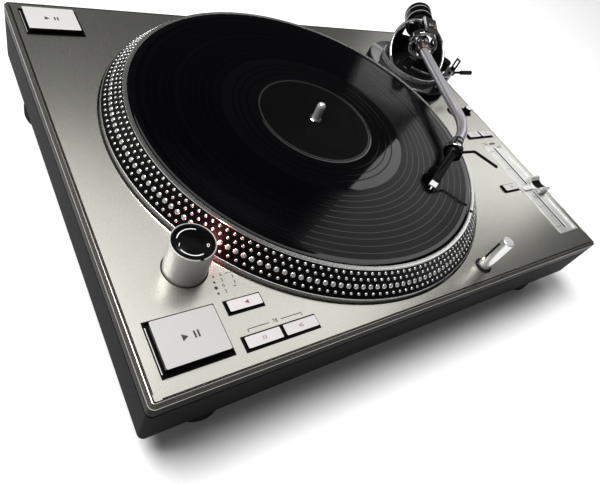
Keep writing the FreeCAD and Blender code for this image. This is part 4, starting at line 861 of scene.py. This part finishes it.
# a bright metal bead along the shroud's edge, a painted highlight of its rim: highest at the rear
# and sloping down along both sides
SHROUD_REACH, SHROUD_DROP, SHROUD_SLOPE = 32.0, 9.9, 0.68
SHROUD_STEPS = 72
rim_points = []
for step in range(SHROUD_STEPS + 1):
    turn = math.radians(64 + 232 * step / SHROUD_STEPS)
    out_x, out_y = SHROUD_REACH * math.cos(turn), SHROUD_REACH * math.sin(turn)
    rim_points.append(arm(out_x, out_y, -SHROUD_DROP - SHROUD_SLOPE * out_x))
sweep("shroud_rim_highlight", rim_points, 0.75, "arm_tower", M["collar"], sides=12)

dress("height_ring", M["ring"])
dress("pivot_cap", M["brass"], 0.2)
dress("gimbal_ring", M["chrome"], 0.35, 3)
dress("rest_clip", M["dial"], 0.3)
dress("cue_bar", M["gloss"], 0.2)
dress("cue_lever", M["dial"], 0.2)
dress("anti_skate_dial", M["dial"], 0.3)


# ------------------------------------------------------------------ tonearm

def arc_points(start, corner, end, radius, steps=18):
    """Points along the arc that rounds a corner between two straight runs."""
    into = (corner - start).normalized()
    out = (end - corner).normalized()
    half = into.angle(out) / 2
    first = corner - into * radius * math.tan(half)
    centre = corner + (out - into).normalized() * (radius / math.cos(half))
    spoke = first - centre
    normal = into.cross(out).normalized()
    return [centre + Matrix.Rotation(2 * half * step / steps, 3, normal) @ spoke
            for step in range(steps + 1)]


# the S tube: from the pivot block, out at the first corner, back at the second one towards
# the stylus, as far as the cartridge's collar
TUBE_RADIUS = 4.9
TUBE_START, HEAD_LONG = 9.1, 55
near, far, tip = Vector((14, 0, 0)), Vector((137.6, 34.7, 0)), Vector((REACH, 0, 0))
heading = (tip - far).normalized()
path = [Vector((TUBE_START, 0, 0))]
path += arc_points(path[0], near, far, 30) + arc_points(near, far, tip, 60, 26)
path.append(tip - heading * HEAD_LONG)
path = [arm(*point) for point in path]
tube = sweep("arm_tube_drawn", path, TUBE_RADIUS, "arm", M["tube"], sides=40)
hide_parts("arm_tube")

dress("pivot_block", M["chrome"], 0.2)
lathe("bearing_cone", [(5.05, 8.2), (7.6, 8.2), (6.4, 15.2), (5.6, 17.5), (5.05, 17.5)],
      arm(0, 0), "arm", M["brass"], axis=ARM_X, segments=48)
dress("locking_collar", M["collar"], 0.2)
dress("cartridge", M["shell"], 0.5, 3)
dress("stylus", M["white"], 0.2)
dress("finger_lift", M["shell"])
dress("counterweight", M["weight"], 0.4, 3)
dress("force_dial", M["dial"], 0.3)

# two thin white lines round the counterweight, with how far behind the pivot each one is
WEIGHT_RADIUS, LINE_WIDE = 16.0, 0.5
LINE_OUT = WEIGHT_RADIUS + PRINT
for name, behind in (("weight_line_30", 50), ("weight_line_44", 64)):
    lathe(name, [(WEIGHT_RADIUS, 0.0), (LINE_OUT, 0.0), (LINE_OUT, LINE_WIDE),
                 (WEIGHT_RADIUS, LINE_WIDE)],
          arm(-behind, 0), "counterweight", M["white"], axis=-ARM_X,
          segments=64)


# ------------------------------------------------------------------ printed marks on the deck

plate_low, plate_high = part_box("top_plate")
plate_x, plate_y = (plate_low + plate_high).xy / 2 / MM
seam_x, seam_y = (plate_high - plate_low).xy / MM
SEAM_IN, SEAM_WIDE, SEAM_SHORT = 0.35, 0.6, 8
strips("plate_seam", [
    (plate_x, plate_low.y / MM + SEAM_IN, seam_x - SEAM_SHORT, SEAM_WIDE),
    (plate_x, plate_high.y / MM - SEAM_IN, seam_x - SEAM_SHORT, SEAM_WIDE),
    (plate_low.x / MM + SEAM_IN, plate_y, SEAM_WIDE, seam_y - SEAM_SHORT),
    (plate_high.x / MM - SEAM_IN, plate_y, SEAM_WIDE, seam_y - SEAM_SHORT)],
       "case", M["switch"], DECK, lift=0.03)

# the key to the four rows of strobe dots: a dot and a number for each row
LEGEND = [(-167.6, -112.9, 1.3, "6"), (-168.4, -116.9, 1.5, "3"), (-168.9, -120.9, 2.3, "0"),
          (-169.0, -125.0, 1.5, "3")]
NUMBER_RIGHT, NUMBER_UP = 5.2, 0.4
for index, (x, y, wide, words) in enumerate(LEGEND):
    lathe(f"legend_dot_{index}", [(0, 0.0), (wide / 2, 0.0), (wide / 2, PRINT), (0, PRINT)],
          (x * MM, y * MM, DECK), "case", M["ink"], segments=24, closed=False)
    figures(f"legend_number_{index}", words, FIGURE,
            ((x + NUMBER_RIGHT) * MM, (y + NUMBER_UP) * MM, DECK), "case",
            M["ink"])
strips("legend_bracket", [(-158.2, -112.4, 2.4, 0.55), (-155.6, -112.4, 1.2, 0.55),
                          (-155.2, -115.4, 0.55, 2.6), (-155.6, -119.6, 0.55, 2.6),
                          (-156.6, -122.4, 2.0, 0.55)], "case", M["ink"], DECK)

# the bracket above the two speed keys, with a number in its middle
BRACKET_Y, BRACKET_MIDDLE = -152.6, -142.7
LINE, ARM_LONG, END_LONG = 0.5, 15, 2
strips("speed_bracket", [(-154.5, BRACKET_Y, ARM_LONG, LINE),
                         (-131.0, BRACKET_Y, ARM_LONG, LINE),
                         (-162.0, BRACKET_Y - END_LONG / 2, LINE, END_LONG),
                         (-123.5, BRACKET_Y - END_LONG / 2, LINE, END_LONG)],
       "case", M["ink"], DECK)
figures("speed_number", "78", LARGE_FIGURE, (BRACKET_MIDDLE * MM, BRACKET_Y * MM, DECK),
        "case", M["ink"])


# ------------------------------------------------------------------ floor and light

FLOOR_HALF, FLOOR_DROP = 8, 0.0002
bm = bmesh.new()
bmesh.ops.create_grid(bm, x_segments=1, y_segments=1, size=FLOOR_HALF)
floor_mesh = bpy.data.meshes.new("floor")
bm.to_mesh(floor_mesh)
bm.free()
floor = bpy.data.objects.new("floor", floor_mesh)
bpy.context.scene.collection.objects.link(floor)
floor.location.z = -FLOOR_DROP
floor_mesh.materials.append(surface("floor_pale", (0.93, 0.93, 0.93), 0.9, 0, vary=0.01,
                                    relief=0.0))
floor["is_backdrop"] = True

world = bpy.data.worlds.new("studio")
bpy.context.scene.world = world
world.use_nodes = True
world.cycles.sampling_method = "NONE"
backdrop = world.node_tree.nodes["Background"]
backdrop.inputs[0].default_value = (1, 1, 1, 1)

# the surroundings: bright to look at, faint on matt surfaces, almost dark in reflections
IN_REFLECTIONS, TO_CAMERA, ON_MATT = 0.03, 0.95, 0.09
path_node = world.node_tree.nodes.new("ShaderNodeLightPath")
level = None
for output, extra in (("Is Camera Ray", TO_CAMERA), ("Is Diffuse Ray", ON_MATT)):
    step = world.node_tree.nodes.new("ShaderNodeMath")
    step.operation = "MULTIPLY_ADD"
    step.inputs[1].default_value = extra
    step.inputs[2].default_value = IN_REFLECTIONS
    world.node_tree.links.new(path_node.outputs[output], step.inputs[0])
    if level:
        world.node_tree.links.new(level, step.inputs[2])
    level = step.outputs[0]
world.node_tree.links.new(level, backdrop.inputs[1])


def soft_light(name, place, right, ahead, wide, deep, power):
    """Light panel with sides along right and ahead; it faces against their cross product."""
    data = bpy.data.lights.new(name, "AREA")
    data.shape = "RECTANGLE"
    data.size, data.size_y = wide, deep
    data.energy = power
    made = bpy.data.objects.new(name, data)
    bpy.context.scene.collection.objects.link(made)
    right = Vector(right).normalized()
    ahead = Vector(ahead)
    ahead = (ahead - right * ahead.dot(right)).normalized()
    made.matrix_world = Matrix.Translation(place) @ Matrix(
        (right, ahead, right.cross(ahead))).transposed().to_4x4()


def edge_frame(first, second):
    """Unit vectors along an edge of a light panel and square to it, level with the floor."""
    along = (second - first).normalized()
    return along, Vector((along.y, -along.x, 0))


# level panels above the far side, which the bright metal mirrors
LEVEL = 1.093
edge_a, edge_b = Vector((0.732, 0.520, LEVEL)), Vector((1.750, 1.073, LEVEL))
along, inward = edge_frame(edge_a, edge_b)
long, wide = 2.1, 0.44
soft_light("sheet_right", edge_a + along * (long / 2 - 0.45) + inward * wide / 2, along, -inward,
           long, wide, 3.8)
soft_light("sheet_end", (2.16, 0.70, LEVEL), (0.42, 0.10, 0), (-0.10, 0.42, 0), 0.9, 0.62,
           3.4)
edge_a, edge_b = Vector((0.05, 1.14, LEVEL)), Vector((0.76, 0.17, LEVEL))
along, inward = edge_frame(edge_a, edge_b)
long, wide = 1.2, 0.64
soft_light("sheet_left", (edge_a + edge_b) / 2 + inward * wide / 2, along, -inward,
           long, wide, 2.5)
# the main light from above the rear left, and a small panel that glints on the grooves
soft_light("back_light", (-0.85, 0.48, 2.1), (0.49, 0.87, 0), (-0.85, 0.48, -0.35), 1.1, 1.1, 74)
soft_light("groove_light", (1.82, 1.42, LEVEL), (0.69, 0.72, 0), (-0.72, 0.69, 0), 0.62, 0.36,
           0.95)

spot = bpy.data.lights.new("strobe", "POINT")
spot.energy = 0.05
spot.color = (1.0, 0.35, 0.3)
spot.shadow_soft_size = 0.004
strobe = bpy.data.objects.new("strobe", spot)
bpy.context.scene.collection.objects.link(strobe)
STROBE_HEIGHT, STROBE_REACH = 9, 15.5
toward = Vector((math.cos(to_platter), math.sin(to_platter), 0))
strobe.location = (Vector((KNOB.x, KNOB.y, DECK + STROBE_HEIGHT * MM))
                   + toward * STROBE_REACH * MM)


# ------------------------------------------------------------------ sizes

low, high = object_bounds()
